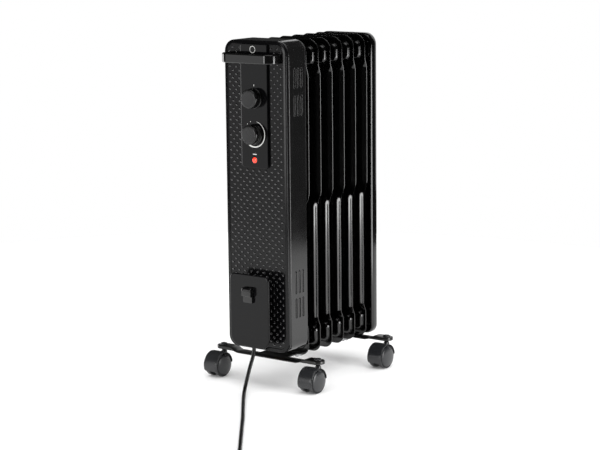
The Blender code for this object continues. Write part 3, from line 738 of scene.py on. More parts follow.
sleeve_front = [  # (inset, y past the sleeve's front edge)
    (1.3, 1.9), (1.3, 0.2), (1.1, 0.0), (0.7, 0.15), (0.25, 0.6), (0.0, 1.4), (0.0, 1.8),
]
sleeve_back = [  # (inset, y past the sleeve's back edge)
    (0.0, -2.4), (0.0, -2.0), (0.3, -0.9), (1.0, -0.2), (2.0, 0.0), (9.0, 0.0), (9.0, -1.2),
    (2.4, -1.2), (1.2, -2.6),
]
sleeve_profile = [(inset, SLEEVE_FRONT_Y + y) for inset, y in sleeve_front]
sleeve_profile += [(inset, HOUSING_REAR_Y + y) for inset, y in sleeve_back]
sleeve = mesh_of(framed(housing_outline, sleeve_profile, True), "housing_sleeve", 40)

# %% Slots
SLOT_YS = (-107.3, -96.9, -86.5)
SLOT_BANKS = ((584.0, 549.0), (535.0, 499.0), (217.0, 176.0), (166.0, 131.0))  # top and bottom of each
SLOT_WIDTH, SLOT_HEIGHT = 3.5, 36.0


def slot_rings(profile):
    """The slot's outline grown, and set across the side wall, by each (grow, x) of a profile."""
    rings = []
    for grow, x in profile:
        half_height, radius = SLOT_HEIGHT / 2 + grow, SLOT_WIDTH / 2 + grow
        outline = rounded(radius, -half_height, half_height, radius, radius, 0.0, 5)
        rings.append([(x, a, b) for a, b in outline])
    return rings


def make_bank_tree():
    tree, given = geometry_tree("slot_banks", {"Piece": "Object", "Finish": "Material"})
    shape = add(tree, "GeometryNodeObjectInfo", {"Object": given["Piece"]}).outputs["Geometry"]
    stretch = add(tree, "GeometryNodeInputNamedAttribute", {"Name": "stretch"}, data_type="FLOAT_VECTOR")
    end_tree(tree, given["Geometry"], shape, given["Finish"], Scale=stretch.outputs[0])
    return tree


bank_tree = make_bank_tree()


def bank_points(side):
    """One point for each slot on a side, with the stretch that gives the slot its height."""
    mesh = bpy.data.meshes.new("slot_points")
    places = [(y, (a + b) / 2, (a - b) / SLOT_HEIGHT) for y in SLOT_YS for a, b in SLOT_BANKS]
    mesh.from_pydata([(side * HOUSING[0] * MM, y * MM, z * MM) for y, z, _ in places], [], [])
    stretches = mesh.attributes.new("stretch", "FLOAT_VECTOR", "POINT")
    for i, (_, _, tall) in enumerate(places):
        stretches.data[i].vector = (1.0, 1.0, tall)
    return mesh


def on_banks(shape_bm, name, smooth=35):
    """A shape put on every slot's place, on both sides."""
    shape = new_object(name, mesh_of(shape_bm, name, smooth))
    bm = bmesh.new()
    for side in (-1, 1):
        bm.from_mesh(grown(bank_points(side), bank_tree, {"Piece": shape, "Finish": sleeve_enamel_painted_lighter}))
    bpy.data.objects.remove(shape)
    mesh = bpy.data.meshes.new(name)
    bm.to_mesh(mesh)
    bm.free()
    return mesh


def cut_by(mesh, cutter_mesh):
    """A mesh with another cut out of it by an exact Boolean."""
    base, tool = new_object("base", mesh), new_object("tool", cutter_mesh)
    modifier = base.modifiers.new("cut", "BOOLEAN")
    modifier.operation, modifier.solver, modifier.object = "DIFFERENCE", "EXACT", tool
    result = baked(base)
    bpy.data.objects.remove(tool)
    return result


bm = bmesh.new()
skin(bm, slot_rings([(0.0, -5.0), (0.0, 5.0)]))
slotted = cut_by(sleeve, on_banks(bm, "slot"))
slotted.set_sharp_from_angle(angle=math.radians(30))
for face in slotted.polygons:
    face.use_smooth = len(face.vertices) <= 4
# The sleeve and its slot lips take the enamel whose lighter base colour is painted light.
settle("housing_sleeve", slotted, sleeve_enamel_painted_lighter, replaces=["control_housing"])

lip = [(0.0, -0.6), (0.0, 0.2), (0.1, 0.45), (0.35, 0.62), (0.65, 0.65), (0.95, 0.55)]
lip += [(1.2, 0.3), (1.3, 0.0), (1.3, -0.6)]
bar = [(-0.8, -2.6), (-0.8, -0.9), (-0.92, -0.45), (-1.15, -0.15), (-1.45, 0.0)]
bm = bmesh.new()
skin(bm, slot_rings(lip), closed=True)
skin(bm, slot_rings(bar))
settle("slot_lips", on_banks(bm, "slot_lip", 60), sleeve_enamel_painted_lighter)

# %% [markdown]
# ## The front panel
#
# The face is one polished ABS moulding with a plain rim, a shallow step and a field of small raised
# dots in staggered columns. A grid of points is laid over the field in Geometry Nodes. A ray from each
# one tells whether it meets a mask of the field, and only those that do get a dot.

# %% Panel
FIELD_INSET, FIELD_DEPTH = 7.4, 0.7
face_rings = [  # (inset, y behind the face)
    (2.5, 3.0), (2.5, 8.0), (0.6, 8.0), (0.15, 7.7), (0.0, 7.1), (0.0, 2.0), (0.15, 1.2), (0.6, 0.6),
    (1.2, 0.15), (2.0, 0.0), (5.6, 0.0), (6.1, -0.25), (6.6, -0.25), (7.0, 0.1), (FIELD_INSET, FIELD_DEPTH),
]
panel = framed(housing_outline, [(inset, FACE_Y + y) for inset, y in face_rings])
stand_in("front_panel", panel, panel_black, 50)

# %% Dots
COLUMN_PITCH, DOT_PITCH, DOT_RADIUS = 7.1, 13.8, 2.6
COLUMNS, ROWS, FIELD_MIDDLE = 19, 41, 350.0
CONTROL_PLATE = (29.8, 404.0, 626.0)  # half width, bottom, top


def dot_mesh():
    """A low dome with a rounded foot."""
    bm = bmesh.new()
    dome = [(0, 0.3), (DOT_RADIUS, 0.3), (DOT_RADIUS, 0.0), (2.35, -0.55), (1.95, -0.98), (1.35, -1.3)]
    turned(bm, dome + [(0.7, -1.45), (0, -1.5)], 12, "Y")
    return mesh_of(bm, "dot", 60)


def field_mask():
    """The flat field that dots may stand on."""
    bm = bmesh.new()
    outline = rounded(*HOUSING, FIELD_INSET + DOT_RADIUS + 0.4, 10)
    bm.faces.new([bm.verts.new((a * MM, (FACE_Y + FIELD_DEPTH) * MM, b * MM)) for a, b in outline])
    mesh = bpy.data.meshes.new("field_mask")
    bm.to_mesh(mesh)
    bm.free()
    return mesh


def plate_hole():
    """A block over the control plate, where no dot may stand."""
    half, bottom, top = CONTROL_PLATE
    margin = DOT_RADIUS + 1.0
    outline = rounded(half + margin, bottom - margin, top + margin, 6, 3)
    return mesh_of(framed(lambda inset: outline, [(0, FACE_Y - 8), (0, FACE_Y + 8)]), "plate_hole")


def make_dot_tree():
    tree, given = geometry_tree("dotted_field", {
        "Dot": "Object", "Hole": "Object", "Column Pitch": "Float", "Row Pitch": "Float",
        "Columns": "Int", "Rows": "Int", "Depth": "Float", "Middle": "Float", "Finish": "Material",
    })

    def span(count, pitch):
        gaps = calc(tree, "SUBTRACT", given[count], 1.0)
        return calc(tree, "MULTIPLY", gaps, given[pitch])

    grid = add(tree, "GeometryNodeMeshGrid", {
        "Size X": span("Columns", "Column Pitch"), "Size Y": span("Rows", "Row Pitch"),
        "Vertices X": given["Columns"], "Vertices Y": given["Rows"],
    }).outputs["Mesh"]
    position = add(tree, "GeometryNodeInputPosition").outputs[0]
    where = add(tree, "ShaderNodeSeparateXYZ", {0: position}).outputs
    column = calc(tree, "DIVIDE", where["X"], given["Column Pitch"])
    whole = calc(tree, "ROUND", column)
    odd = calc(tree, "FLOORED_MODULO", whole, 2.0)
    half_row = calc(tree, "MULTIPLY", given["Row Pitch"], 0.5)
    stagger = calc(tree, "MULTIPLY", odd, half_row)
    up = calc(tree, "ADD", where["Y"], stagger)
    height = calc(tree, "ADD", up, given["Middle"])
    stood = add(tree, "ShaderNodeCombineXYZ", {"X": where["X"], "Y": given["Depth"], "Z": height}).outputs[0]
    points = add(tree, "GeometryNodeSetPosition", {"Geometry": grid, "Position": stood}).outputs[0]
    ahead = add(tree, "ShaderNodeVectorMath", {
        0: add(tree, "GeometryNodeInputPosition").outputs[0], 1: (0.0, -0.05, 0.0),
    }, operation="ADD").outputs[0]
    ray = {"Source Position": ahead, "Ray Direction": (0.0, 1.0, 0.0), "Ray Length": 0.2}
    hole = add(tree, "GeometryNodeObjectInfo", {"Object": given["Hole"]}).outputs["Geometry"]
    on_field, on_hole = (
        add(tree, "GeometryNodeRaycast", {"Target Geometry": target, **ray}).outputs["Is Hit"]
        for target in (given["Geometry"], hole)
    )
    off_field = add(tree, "FunctionNodeBooleanMath", {0: on_field}, operation="NOT").outputs[0]
    unwanted = add(tree, "FunctionNodeBooleanMath", {0: off_field, 1: on_hole}, operation="OR").outputs[0]
    kept = add(tree, "GeometryNodeDeleteGeometry", {"Geometry": points, "Selection": unwanted}).outputs[0]
    dot = add(tree, "GeometryNodeObjectInfo", {"Object": given["Dot"]}).outputs["Geometry"]
    end_tree(tree, kept, dot, given["Finish"])
    return tree


helpers = [new_object(mesh.name, mesh) for mesh in (dot_mesh(), plate_hole())]
dots = grown(field_mask(), make_dot_tree(), {
    "Dot": helpers[0],
    "Hole": helpers[1],
    "Column Pitch": COLUMN_PITCH * MM,
    "Row Pitch": DOT_PITCH * MM,
    "Columns": COLUMNS,
    "Rows": ROWS,
    "Depth": (FACE_Y + FIELD_DEPTH) * MM,
    "Middle": FIELD_MIDDLE * MM,
    "Finish": dot_black,
})
for helper in helpers:
    bpy.data.objects.remove(helper)
settle("front_dots", dots, dot_black)

# %% [markdown]
# ## Controls
#
# A flat plate carries two knobs and a lamp. The plate is an outline carried through a few rings that
# round its front edge. Each knob is a turned profile with fine ribs set round it by Geometry Nodes, so
# that fingers can grip it. The scale round the lower knob is a printed wedge that grows clockwise.

# %% Control plate
PLATE_FRONT = FACE_Y - 4.0
plate_rings = [(0.0, FACE_Y + 0.5), (0.0, PLATE_FRONT + 0.8), (0.24, PLATE_FRONT + 0.24), (0.8, PLATE_FRONT)]
plate = framed(lambda inset: rounded(*CONTROL_PLATE, 6.0, 3.0, inset), plate_rings)
stand_in("control_plate", plate, plate_black)

# %% Knobs
KNOB_HEIGHTS = {"selector": 529.5, "thermostat": 465.0}
KNOB_BACK = PLATE_FRONT - 0.8
RIB_COUNT, RIB_RADIUS = 60, 17.2
KNOB_PROFILE = [
    (0, -11.3), (3.3, -11.3), (3.3, 0.0), (18.1, 0.0), (18.5, -0.4), (18.5, -1.8), (18.2, -2.3), (17.4, -2.7),
    (17.2, -14.2), (17.0, -15.4), (16.5, -16.2), (15.9, -16.6), (15.2, -16.7), (14.5, -16.5), (14.0, -16.0),
    (10.0, -16.2), (0, -16.4),
]


def make_rib_tree():
    tree, given = geometry_tree("ring_of_ribs", {"Count": "Int", "Radius": "Float", "Finish": "Material"})
    size = {"Vertices": given["Count"], "Radius": given["Radius"]}
    ring = add(tree, "GeometryNodeMeshCircle", size).outputs[0]
    outward = add(tree, "GeometryNodeInputPosition").outputs[0]
    turn = add(tree, "FunctionNodeAlignRotationToVector", {"Vector": outward}, axis="X").outputs[0]
    end_tree(tree, ring, given["Geometry"], given["Finish"], Rotation=turn)
    return tree


rib_tree = make_rib_tree()
rib_outline = [(-0.5, -0.55), (0.15, -0.42), (0.32, 0.0), (0.15, 0.42), (-0.5, 0.55)]  # out, along the rim
CAP_PROFILE = [
    (0, -15.0), (14.9, -15.0), (14.9, -16.7), (14.2, -17.0), (13.2, -16.9), (8.0, -16.75), (0, -16.7),
]
for control, height in KNOB_HEIGHTS.items():
    name = f"{control}_knob"
    rib = bmesh.new()
    skin(rib, [[(a, b, c) for a, b in rib_outline] for c in (3.0, 14.9)])
    ribs = {"Count": RIB_COUNT, "Radius": RIB_RADIUS * MM, "Finish": knob_black}
    bm = bmesh.new()
    bm.from_mesh(grown(mesh_of(rib, "rib", 60), rib_tree, ribs))
    bmesh.ops.scale(bm, vec=(1 / MM, 1 / MM, 1 / MM), verts=bm.verts)
    bmesh.ops.rotate(bm, cent=(0, 0, 0), matrix=Matrix.Rotation(math.radians(90), 3, "X"), verts=bm.verts)
    turned(bm, KNOB_PROFILE, 64, "Y")
    bmesh.ops.translate(bm, vec=(0, KNOB_BACK, height), verts=bm.verts)
    stand_in(name, bm, knob_black, 30, name)
    cap = bmesh.new()
    turned(cap, CAP_PROFILE, 64, "Y", (0, KNOB_BACK, height))
    settle(f"{control}_cap", cap, cap_grey, body=name)
    bar = rounded(0.6, height + 11.2, height + 13.6, 0.5, 0.5)
    pointer = framed(lambda inset: bar, [(0, KNOB_BACK - 16.0), (0, KNOB_BACK - 17.1)])
    settle(f"{control}_pointer", pointer, knob_black, body=name)

# %% Printed marks
FILM = (PLATE_FRONT + 0.2, PLATE_FRONT - 0.12)  # the back and front of the ink


def wedge(centre_z, radius, start, stop, thin, thick, steps=40):
    """A band round a centre, clockwise from one bearing to another, that grows from thin to thick."""
    outside, inside = [], []
    for i in range(steps + 1):
        bearing = math.radians(start + (stop - start) * i / steps)
        width = thin + (thick - thin) * i / steps
        for ring, reach in ((outside, radius + width / 2), (inside, radius - width / 2)):
            ring.append((reach * math.sin(bearing), centre_z + reach * math.cos(bearing)))
    return outside + inside[::-1]


def spot(x, z, radius):
    return arc((x, z), radius, 0, 330, 11)


dial = KNOB_HEIGHTS["thermostat"]
marks = [wedge(dial, 23.2, 12, 212, 0.5, 2.6), spot(-8.5, dial + 22.0, 0.8), spot(-15.5, dial + 17.5, 0.8)]
marks.append(rounded(0.5, 551.0, 554.5, 0.4, 0.4))
marks.append(rounded(4.2, 427.8, 429.4, 0.5, 0.5))
bm = bmesh.new()
for mark in marks:
    framed(lambda inset: mark, [(0, y) for y in FILM], bm=bm)
settle("printed_marks", bm, ink)

RING_CENTRE, RING_RADII = (-2.0, 616.5), (5.4, 6.2)
inside, outside = RING_RADII
ring_profile = [(inside, FILM[0]), (inside, FILM[1]), (outside, FILM[1]), (outside, FILM[0])]
ring = framed(lambda radius: arc(RING_CENTRE, radius, 0, 348.75, 31), ring_profile, True)
settle("printed_ring", ring, ink)

# %% Lamp
LAMP_Z, LAMP_RADIUS = 418.0, 4.9
bm = bmesh.new()
lens = [(0, FACE_Y - 2.4), (LAMP_RADIUS, FACE_Y - 2.4), (LAMP_RADIUS, PLATE_FRONT - 0.5)]
lens += [(4.5, PLATE_FRONT - 1.0), (3.4, PLATE_FRONT - 1.4), (1.8, PLATE_FRONT - 1.6)]
lens += [(0, PLATE_FRONT - 1.65)]
turned(bm, lens, 32, "Y", (0, 0, LAMP_Z))
stand_in("lamp_lens", bm, red_lens)
bm = bmesh.new()
bezel = [(5.0, PLATE_FRONT + 0.3), (5.0, PLATE_FRONT - 0.5), (5.4, PLATE_FRONT - 0.9)]
bezel += [(6.2, PLATE_FRONT - 0.7), (6.6, PLATE_FRONT + 0.3)]
turned(bm, bezel, 32, "Y", (0, 0, LAMP_Z))
settle("lamp_bezel", bm, gloss_black)

# %% [markdown]
# ## The handle and the cord winder
#
# The handle is a flat strip bent to a D and moulded in gloss ABS with soft edges. It is a rounded
# section carried along a bent path. The winder is a plate that stands off the face on a post, with a
# hooked clip that holds the end of the lead.

# %% Handle
HANDLE_LOW, HANDLE_HIGH, HANDLE_REACH, HANDLE_THICKNESS = 593.5, 610.5, 31.0, 5.0
HANDLE_HALF_WIDTH, HANDLE_BEND = 59.0, 18.0
middle_bend = HANDLE_BEND - HANDLE_THICKNESS / 2
corner = (HANDLE_HALF_WIDTH - HANDLE_BEND, FACE_Y - HANDLE_REACH + HANDLE_BEND)
leg = [(corner[0] + middle_bend, y) for y in (FACE_Y + 0.4, FACE_Y - 2.0, corner[1] + 4.0)]
right_side = leg + arc(corner, middle_bend, 0, -90, 16)
path = right_side + [(x, corner[1] - middle_bend) for x in (20.0, 0.0, -20.0)]
path += [(-x, y) for x, y in reversed(right_side)]
bm = bmesh.new()
rings = []
for i, (x, y) in enumerate(path):
    ahead, behind = path[min(i + 1, len(path) - 1)], path[max(i - 1, 0)]
    along = Vector((ahead[0] - behind[0], ahead[1] - behind[1], 0)).normalized()
    out = Vector((-along.y, along.x, 0))
    section = rounded(HANDLE_THICKNESS / 2, HANDLE_LOW, HANDLE_HIGH, 2.0, 2.0, 0.0, 5)
    rings.append([Vector((x, y, 0)) + out * a + Vector((0, 0, b)) for a, b in section])
skin(bm, rings)
stand_in("carry_handle", bm, gloss_black, 50)

# %% Winder
WINDER_FRONT, WINDER_THICKNESS = FACE_Y - 26.5, 3.5
WINDER_BACK = WINDER_FRONT + WINDER_THICKNESS
rings = [(1.0, WINDER_BACK), (0.2, WINDER_BACK - 0.6), (0.0, WINDER_FRONT + 1.9), (0.35, WINDER_FRONT + 0.8)]
rings += [(1.4, WINDER_FRONT + 0.15), (2.6, WINDER_FRONT)]
winder = framed(lambda inset: rounded(44.5, 77.0, 212.0, 20.0, 11.0, inset, 10), rings)
stand_in("winder_plate", winder, panel_black)

rings = [(-2.5, FACE_Y + FIELD_DEPTH), (-2.5, FACE_Y - 0.6), (-1.0, FACE_Y - 1.6), (0.0, FACE_Y - 3.4)]
rings += [(0.4, WINDER_BACK + 3.0), (-0.6, WINDER_BACK + 1.2), (-2.0, WINDER_BACK - 0.4)]
post = framed(lambda inset: rounded(20.0, 108.0, 188.0, 12.0, 12.0, inset, 10), rings)
stand_in("winder_post", post, panel_black)

# %% Cord clip
CLIP_TIP = -167.5
hook = [(WINDER_FRONT + 0.5, 189.5), (-162.0, 189.2), (-165.6, 188.4), (-167.0, 187.0), (CLIP_TIP, 185.0)]
hook += [(CLIP_TIP, 175.0), (-167.1, 173.2), (-165.8, 172.2), (-163.6, 171.8), (-163.0, 170.6)]
hook += [(-163.0, 162.0), (-162.4, 160.6), (-161.0, 160.0), (WINDER_FRONT + 0.5, 160.0)]
bm = bmesh.new()
middle = Vector((sum(y for y, _ in hook) / len(hook), sum(z for _, z in hook) / len(hook)))
rings = []
for x, grow in ((-10.0, 0.90), (-9.6, 0.97), (-8.8, 1.0), (8.8, 1.0), (9.6, 0.97), (10.0, 0.90)):
    rings.append([
        (x, middle[0] + (y - middle[0]) * grow, middle[1] + (z - middle[1]) * grow) for y, z in hook])
skin(bm, rings)
stand_in("cord_clip", bm, gloss_black, 40)

# %% Strain relief
# A soft tapered sleeve with rings moulded round it, so that it bends evenly.
bm = bmesh.new()
relief_root = [(6.4, 98.4), (6.8, 99.2), (6.8, 108.2), (0, 108.2)]
relief = ringed((79.2, (0, 77.9), (4.4, 77.9), (4.9, 78.4)), relief_root, 6, 3.1, 5.0, 0.2, 0.8, 2.8)
turned(bm, relief, 32, at=(0, -146.0, 0))
stand_in("strain_relief", bm, pvc)

# %% [markdown]
# ## Feet
#
# Each foot is a pressed steel bar. It is flat and thin in the middle, where it is bolted under the
# fins, and steps up at both ends over the castors, where its edge is turned down as a flange.

# %% Feet
FOOT_HALF_LENGTH, FOOT_HALF_WIDTH = 121.5, 12.8
FOOT_YS = {"front": -97.65, "rear": 124.55}
BOLT_YS = {"front": (fin_y(1) + fin_y(2)) / 2, "rear": (fin_y(5) + fin_y(6)) / 2}
FOOT_SHEET, TONGUE_HALF_WIDTH = 2.4, 32.0


def foot_heights(x):
    """The top of the foot and the lower edge of its flange at a place along it."""
    step = ramp((abs(x) - 71.0) / 16.0)
    drop = ramp((abs(x) - 66.0) / 12.0)
    return 49.6 + 6.4 * step, 47.2 + 2.6 * drop


def foot_ring(y, inset, level):
    """The foot's outline, front edge then back edge, at a level worked out from its two heights."""
    reach, end = FOOT_HALF_WIDTH - inset, FOOT_HALF_LENGTH - FOOT_HALF_WIDTH
    xs = [-end - reach * math.cos(math.radians(a)) for a in range(0, 90, 10)]
    xs += spaced(-end, -64, 4) + spaced(-64, 64, 16) + spaced(64, end, 4)
    xs += [end + reach * math.sin(math.radians(a)) for a in range(0, 91, 10)]
    front_edge, back_edge = [], []
    for x in xs:
        over = max(abs(x) - end, 0.0)
        wide = math.sqrt(max(reach ** 2 - over ** 2, 0.0))
        z = level(*foot_heights(x))
        front_edge.append((x, y - wide, z))
        back_edge.append((x, y + wide, z))
    return front_edge, back_edge


def foot_mesh(y, inward_to):
    """A foot, with a tongue from its middle that reaches inward to the bolts."""
    levels = [
        (FOOT_SHEET, lambda top, low: max(top - FOOT_SHEET, low)),
        (FOOT_SHEET, lambda top, low: low),
        (0.3, lambda top, low: low),
        (0.0, lambda top, low: low + 0.3),
        (0.0, lambda top, low: top - 1.3),
        (0.4, lambda top, low: top - 0.4),
        (1.3, lambda top, low: top),
    ]
    bm = bmesh.new()
    rows = []
    for inset, level in levels:
        edges = foot_ring(y, inset, level)
        rows.append([[bm.verts.new(p) for p in edge] for edge in edges])
    for lower, upper in zip(rows, rows[1:]):
        for low_edge, high_edge in zip(lower, upper):
            for i in range(len(low_edge) - 1):
                bm.faces.new((low_edge[i], low_edge[i + 1], high_edge[i + 1], high_edge[i]))
        bm.faces.new((lower[0][0], lower[1][0], upper[1][0], upper[0][0]))
        bm.faces.new((lower[0][-1], lower[1][-1], upper[1][-1], upper[0][-1]))
    for front_edge, back_edge in (rows[0], rows[-1]):
        for i in range(len(front_edge) - 1):
            bm.faces.new((front_edge[i], front_edge[i + 1], back_edge[i + 1], back_edge[i]))
    bmesh.ops.remove_doubles(bm, verts=bm.verts, dist=0.001)
    bmesh.ops.dissolve_degenerate(bm, edges=bm.edges, dist=0.001)
    start, stop = sorted((
        y + math.copysign(8.0, inward_to - y), inward_to + math.copysign(10.0, inward_to - y)))
    length = stop - start
    tongue = rounded(TONGUE_HALF_WIDTH, -length / 2, length / 2, 6.0, 6.0)
    skin(bm, [[(a, b + (start + stop) / 2, z) for a, b in tongue] for z in (47.35, 49.4)])
    return bm


for end, y in FOOT_YS.items():
    stand_in(f"{end}_foot", foot_mesh(y, BOLT_YS[end]), powder_coat, 40)

# %% [markdown]
# The feet hang from two U-bolts that pass round the bottom necks. Their legs are threaded, and wing
# nuts pull them down. The thread is a row of shallow rings, which at this size reads as a thread.

# %% U-bolts and wing nuts
BOLT_RADIUS, LEG_X, LEG_END = 2.5, 21.8, 39.7
THREAD_PITCH, THREAD_TOP = 1.25, 62.0


def swept(bm, centres, radii, sides, across_at):
    """A round bar through centres with a radius at each, and flat ends."""
    rings = []
    for i, centre in enumerate(centres):
        ahead, behind = Vector(centres[min(i + 1, len(centres) - 1)]), Vector(centres[max(i - 1, 0)])
        along = (ahead - behind).normalized()
        first = Vector(across_at)
        second = along.cross(first)
        turns = [2 * math.pi * k / sides for k in range(sides)]
        rings.append([
            Vector(centre) + (first * math.cos(t) + second * math.sin(t)) * radii[i] for t in turns])
    skin(bm, rings)


NUT_TOP = 46.9
NUT_PROFILE = [
    (2.8, 0.0), (5.6, 0.0), (6.0, -0.5), (5.4, -1.6), (4.7, -3.0), (4.3, -5.2), (3.8, -5.8), (2.8, -5.8),
]
WING_OUTLINE = [
    (4.0, -4.6), (8.6, -5.0), (10.9, -4.6), (12.0, -3.2), (12.2, -1.4), (11.2, -0.6), (9.4, -0.9),
    (4.6, -1.2),
]
WING_SECTION = [(-1.1, 0.97), (-0.7, 1.0), (0.7, 1.0), (1.1, 0.97)]  # y, and how far the wing reaches
for end, y in BOLT_YS.items():
    centres, radii = [], []
    z = LEG_END
    while z < THREAD_TOP:
        for rise_by, radius in ((0.0, BOLT_RADIUS), (0.35, BOLT_RADIUS), (0.6, 2.15), (0.95, 2.15)):
            centres.append((LEG_X, y, z + rise_by))
            radii.append(radius)
        z += THREAD_PITCH
    over = [(a, y, b) for a, b in arc((0, HEADERS[1][0]), LEG_X, 0, 180, 28)]
    path = centres + over + [(-a, b, c) for a, b, c in reversed(centres)]
    bm = bmesh.new()
    swept(bm, path, radii + [BOLT_RADIUS] * len(over) + radii[::-1], 14, (0, 1, 0))
    stand_in(f"{end}_u_bolt", bm, zinc, 25)
    for side, x in (("left", -LEG_X), ("right", LEG_X)):
        bm = bmesh.new()
        turned(bm, NUT_PROFILE, 24, at=(x, y, NUT_TOP))
        for way in (-1, 1):
            skin(bm, [[(x + way * a * reach, y + b, NUT_TOP + c) for a, c in WING_OUTLINE]
                      for b, reach in WING_SECTION])
        stand_in(f"{end}_wing_nut_{side}", bm, zinc)

# %% [markdown]
# ## Castors
#
# Four twin-wheel castors swivel on steel stems. On each, a nylon hood covers the front and top of both
# wheels, a web runs between them and carries the axle, and the wheels have a soft domed disc inside a
# rounded tread. The hood rides on the castor's own body and each wheel on its own, so they all turn.

# %% Castor shapes
CASTOR_X, WHEEL_TRAIL, WHEEL_RADIUS = 109.1, 18.5, 22.0
HOOD_START, HOOD_STOP = 3, 205  # degrees round the axle, from the rear over the top to the front
HOOD_SECTION = [  # (radius, sideways)
    (22.95, -15.3), (23.2, -15.7), (23.7, -15.75), (24.1, -15.3), (24.35, -14.0), (24.5, -9.0), (24.6, 0.0),
    (24.5, 9.0), (24.35, 14.0), (24.1, 15.3), (23.7, 15.75), (23.2, 15.7), (22.95, 15.3), (22.9, 0.0),
]
WHEEL_PROFILE = [  # (radius, sideways), from the middle of the disc round the tread to the bore
    (0, 18.0), (4.0, 17.95), (8.0, 17.7), (12.0, 17.25), (15.5, 16.6), (18.0, 15.85), (19.0, 15.2),
    (19.4, 14.4), (19.5, 12.0), (20.5, 12.0), (20.6, 14.2), (21.0, 14.6), (21.6, 14.4), (22.0, 13.4), (22.0, 7.4),
    (21.8, 6.6), (21.2, 6.0), (20.4, 5.8), (4.5, 5.8), (4.3, 5.2), (2.3, 5.2), (2.3, 14.8), (0, 14.8),
]

SOCKET_PROFILE = [
    (0, 27.0), (4.6, 27.0), (5.6, 40.5), (5.5, 43.5), (4.6, 45.6), (3.6, 47.2), (3.2, 47.5), (0, 47.5),
]
STEM_PROFILE = [
    (0, 44.0), (3.2, 44.0), (3.2, 51.0), (5.0, 51.4), (5.2, 52.0), (5.0, 53.2), (3.2, 53.4), (3.2, 57.4),
    (0, 57.4),
]
CAP_OF_STEM = [(0, 56.1), (6.8, 56.1), (7.0, 56.6), (6.8, 57.8), (5.8, 58.9), (3.6, 59.6), (0, 59.8)]


def hood_bmesh(x, y):
    """The hood over both wheels, the web between them and the socket for the stem."""
    axle = Vector((x, y - WHEEL_TRAIL, WHEEL_RADIUS))
    bm = bmesh.new()
    rings = []
    count = 40
    for i in range(count + 1):
        angle = math.radians(HOOD_START + (HOOD_STOP - HOOD_START) * i / count)
        shrink = (0.93, 0.985, 1.0)[min(i, count - i, 2)]  # rounds both ends
        rings.append([
            axle + Vector((side * shrink, radius * math.cos(angle), radius * math.sin(angle)))
            for radius, side in HOOD_SECTION
        ])
    skin(bm, rings)
    web = arc((0, 0), 23.2, -25, 205, 30)
    skin(bm, [[axle + Vector((side, a * size, b * size)) for a, b in web]
              for side, size in ((-5.2, 0.975), (-4.8, 1.0), (4.8, 1.0), (5.2, 0.975))])
    turned(bm, SOCKET_PROFILE, 28, at=(x, y, 0))
    return bm


def castor_pieces(name, x, y):
    stand_in(f"{name}_hood", hood_bmesh(x, y), nylon, body=name)
    for wheel, way in (("left", -1), ("right", 1)):
        bm = bmesh.new()
        profile = [(radius, way * sideways_by) for radius, sideways_by in WHEEL_PROFILE]
        turned(bm, profile, 48, "X", (x, y - WHEEL_TRAIL, WHEEL_RADIUS))
        wheel_name = f"{name}_wheel_{wheel}"
        stand_in(wheel_name, bm, nylon, 40, wheel_name)
    stem, cap = bmesh.new(), bmesh.new()
    turned(stem, STEM_PROFILE, 24, at=(x, y, 0))
    stand_in(f"{name}_stem", stem, zinc)
    turned(cap, CAP_OF_STEM, 28, at=(x, y, 0))
    settle(f"{name}_stem_cap", cap, nylon)


for end, y in FOOT_YS.items():
    for side, x in (("left", -CASTOR_X), ("right", CASTOR_X)):
        castor_pieces(f"castor_{end}_{side}", x, y)

# %% [markdown]
# ## The pieces inside
#
# The switches, spindles, lamp holder, terminal block and element keep their CAD shapes, which are right
# for what can be seen of them, and take the finish that the record gives their slot.

# %% Carried-over CAD pieces
slot_of = {part["node"]: part["material_slot"] for part in frame["record"]["subparts"]}
for name, item in sorted(nodes.items()):
    item.data.materials.clear()
    item.data.materials.append(LOOKS[slot_of[name]])
print(len(nodes), "CAD nodes have their finishes")

# %% [markdown]
# ## Floor, lights and surroundings
#
# Black gloss shows only what it reflects, so the light is planned from the reflections. A low strip on
# the left shines through between the fins and lights the slopes of their wings, and one on the right
# draws a line down the last fin's lip. A strip and a dim card in front give the panel its tone and its
# dots their glints. A large card at the back whitens the housing's top, a soft box above evens out the
# rest, and the pale floor shows in the lower part of the housing's side. The surroundings are white to
# look at but dim in reflections, which keeps the enamel black.

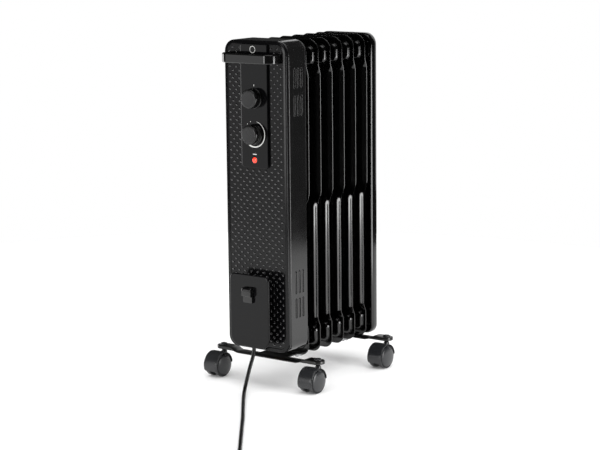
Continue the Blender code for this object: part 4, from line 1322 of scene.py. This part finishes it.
# %% Floor
FLOOR_CENTRE, FLOOR_RADIUS = (-100.0, -100.0), 1500.0
bm = bmesh.new()
skin(bm, [[(x, y, z) for x, y in arc(FLOOR_CENTRE, FLOOR_RADIUS, 0, 355, 71)] for z in (-10.0, -0.05)])
floor = new_object("floor", mesh_of(bm, "floor"))
floor.data.materials.append(finish("pale_studio_floor", None, "#f2f2f2", 0.9, 2.0, 0.01))

# %% Lights
LIGHTS = {  # place, aim and size in metres, then power in watts
    "left_strip": ((-1.55, -0.10, 0.30), (0.0, 0.0, 0.25), (0.75, 0.75), 10.0),
    "right_strip": ((1.0, 0.05, 0.26), (0.0, 0.05, 0.30), (0.38, 0.52), 7.0),
    "front_strip": ((-0.62, -2.3, 0.45), (0.0, 0.0, 0.40), (0.6, 0.9), 9.0),
    "panel_card": ((-0.96, -1.40, 0.28), (0.0, -0.13, 0.28), (0.55, 0.6), 1.1),
    "back_card": ((-0.35, 2.2, 1.0), (-0.35, 0.0, 1.0), (2.5, 2.0), 17.0),
    "top_box": ((0.3, -0.4, 2.2), (0.0, 0.0, 0.4), (1.6, 1.6), 14.0),
}
for name, (place, aim, size, power) in LIGHTS.items():
    lamp = bpy.data.lights.new(name, "AREA")
    lamp.shape = "RECTANGLE"
    lamp.size, lamp.size_y = size
    lamp.energy = power
    item = new_object(name, lamp)
    item.location = place
    item.rotation_euler = (Vector(aim) - Vector(place)).to_track_quat("-Z", "Y").to_euler()
    item.visible_camera = False
print(len(LIGHTS), "lights")

# %% Surroundings
world = bpy.data.worlds.new("studio")
bpy.context.scene.world = world
world.use_nodes = True
tree = world.node_tree
tree.nodes.clear()
ray = add(tree, "ShaderNodeLightPath").outputs
seen, soft, dim = (
    add(tree, "ShaderNodeBackground", {"Color": (1, 1, 1, 1), "Strength": strength}).outputs[0]
    for strength in (1.0, 1.12, 0.04)  # to the camera, as light on the pieces, and in reflections
)
unlit = add(tree, "ShaderNodeMixShader", {0: ray["Is Glossy Ray"], 1: soft, 2: dim}).outputs[0]
whole = add(tree, "ShaderNodeMixShader", {0: ray["Is Camera Ray"], 1: unlit, 2: seen}).outputs[0]
add(tree, "ShaderNodeOutputWorld", {"Surface": whole})
bpy.context.scene.view_settings.view_transform = "Standard"
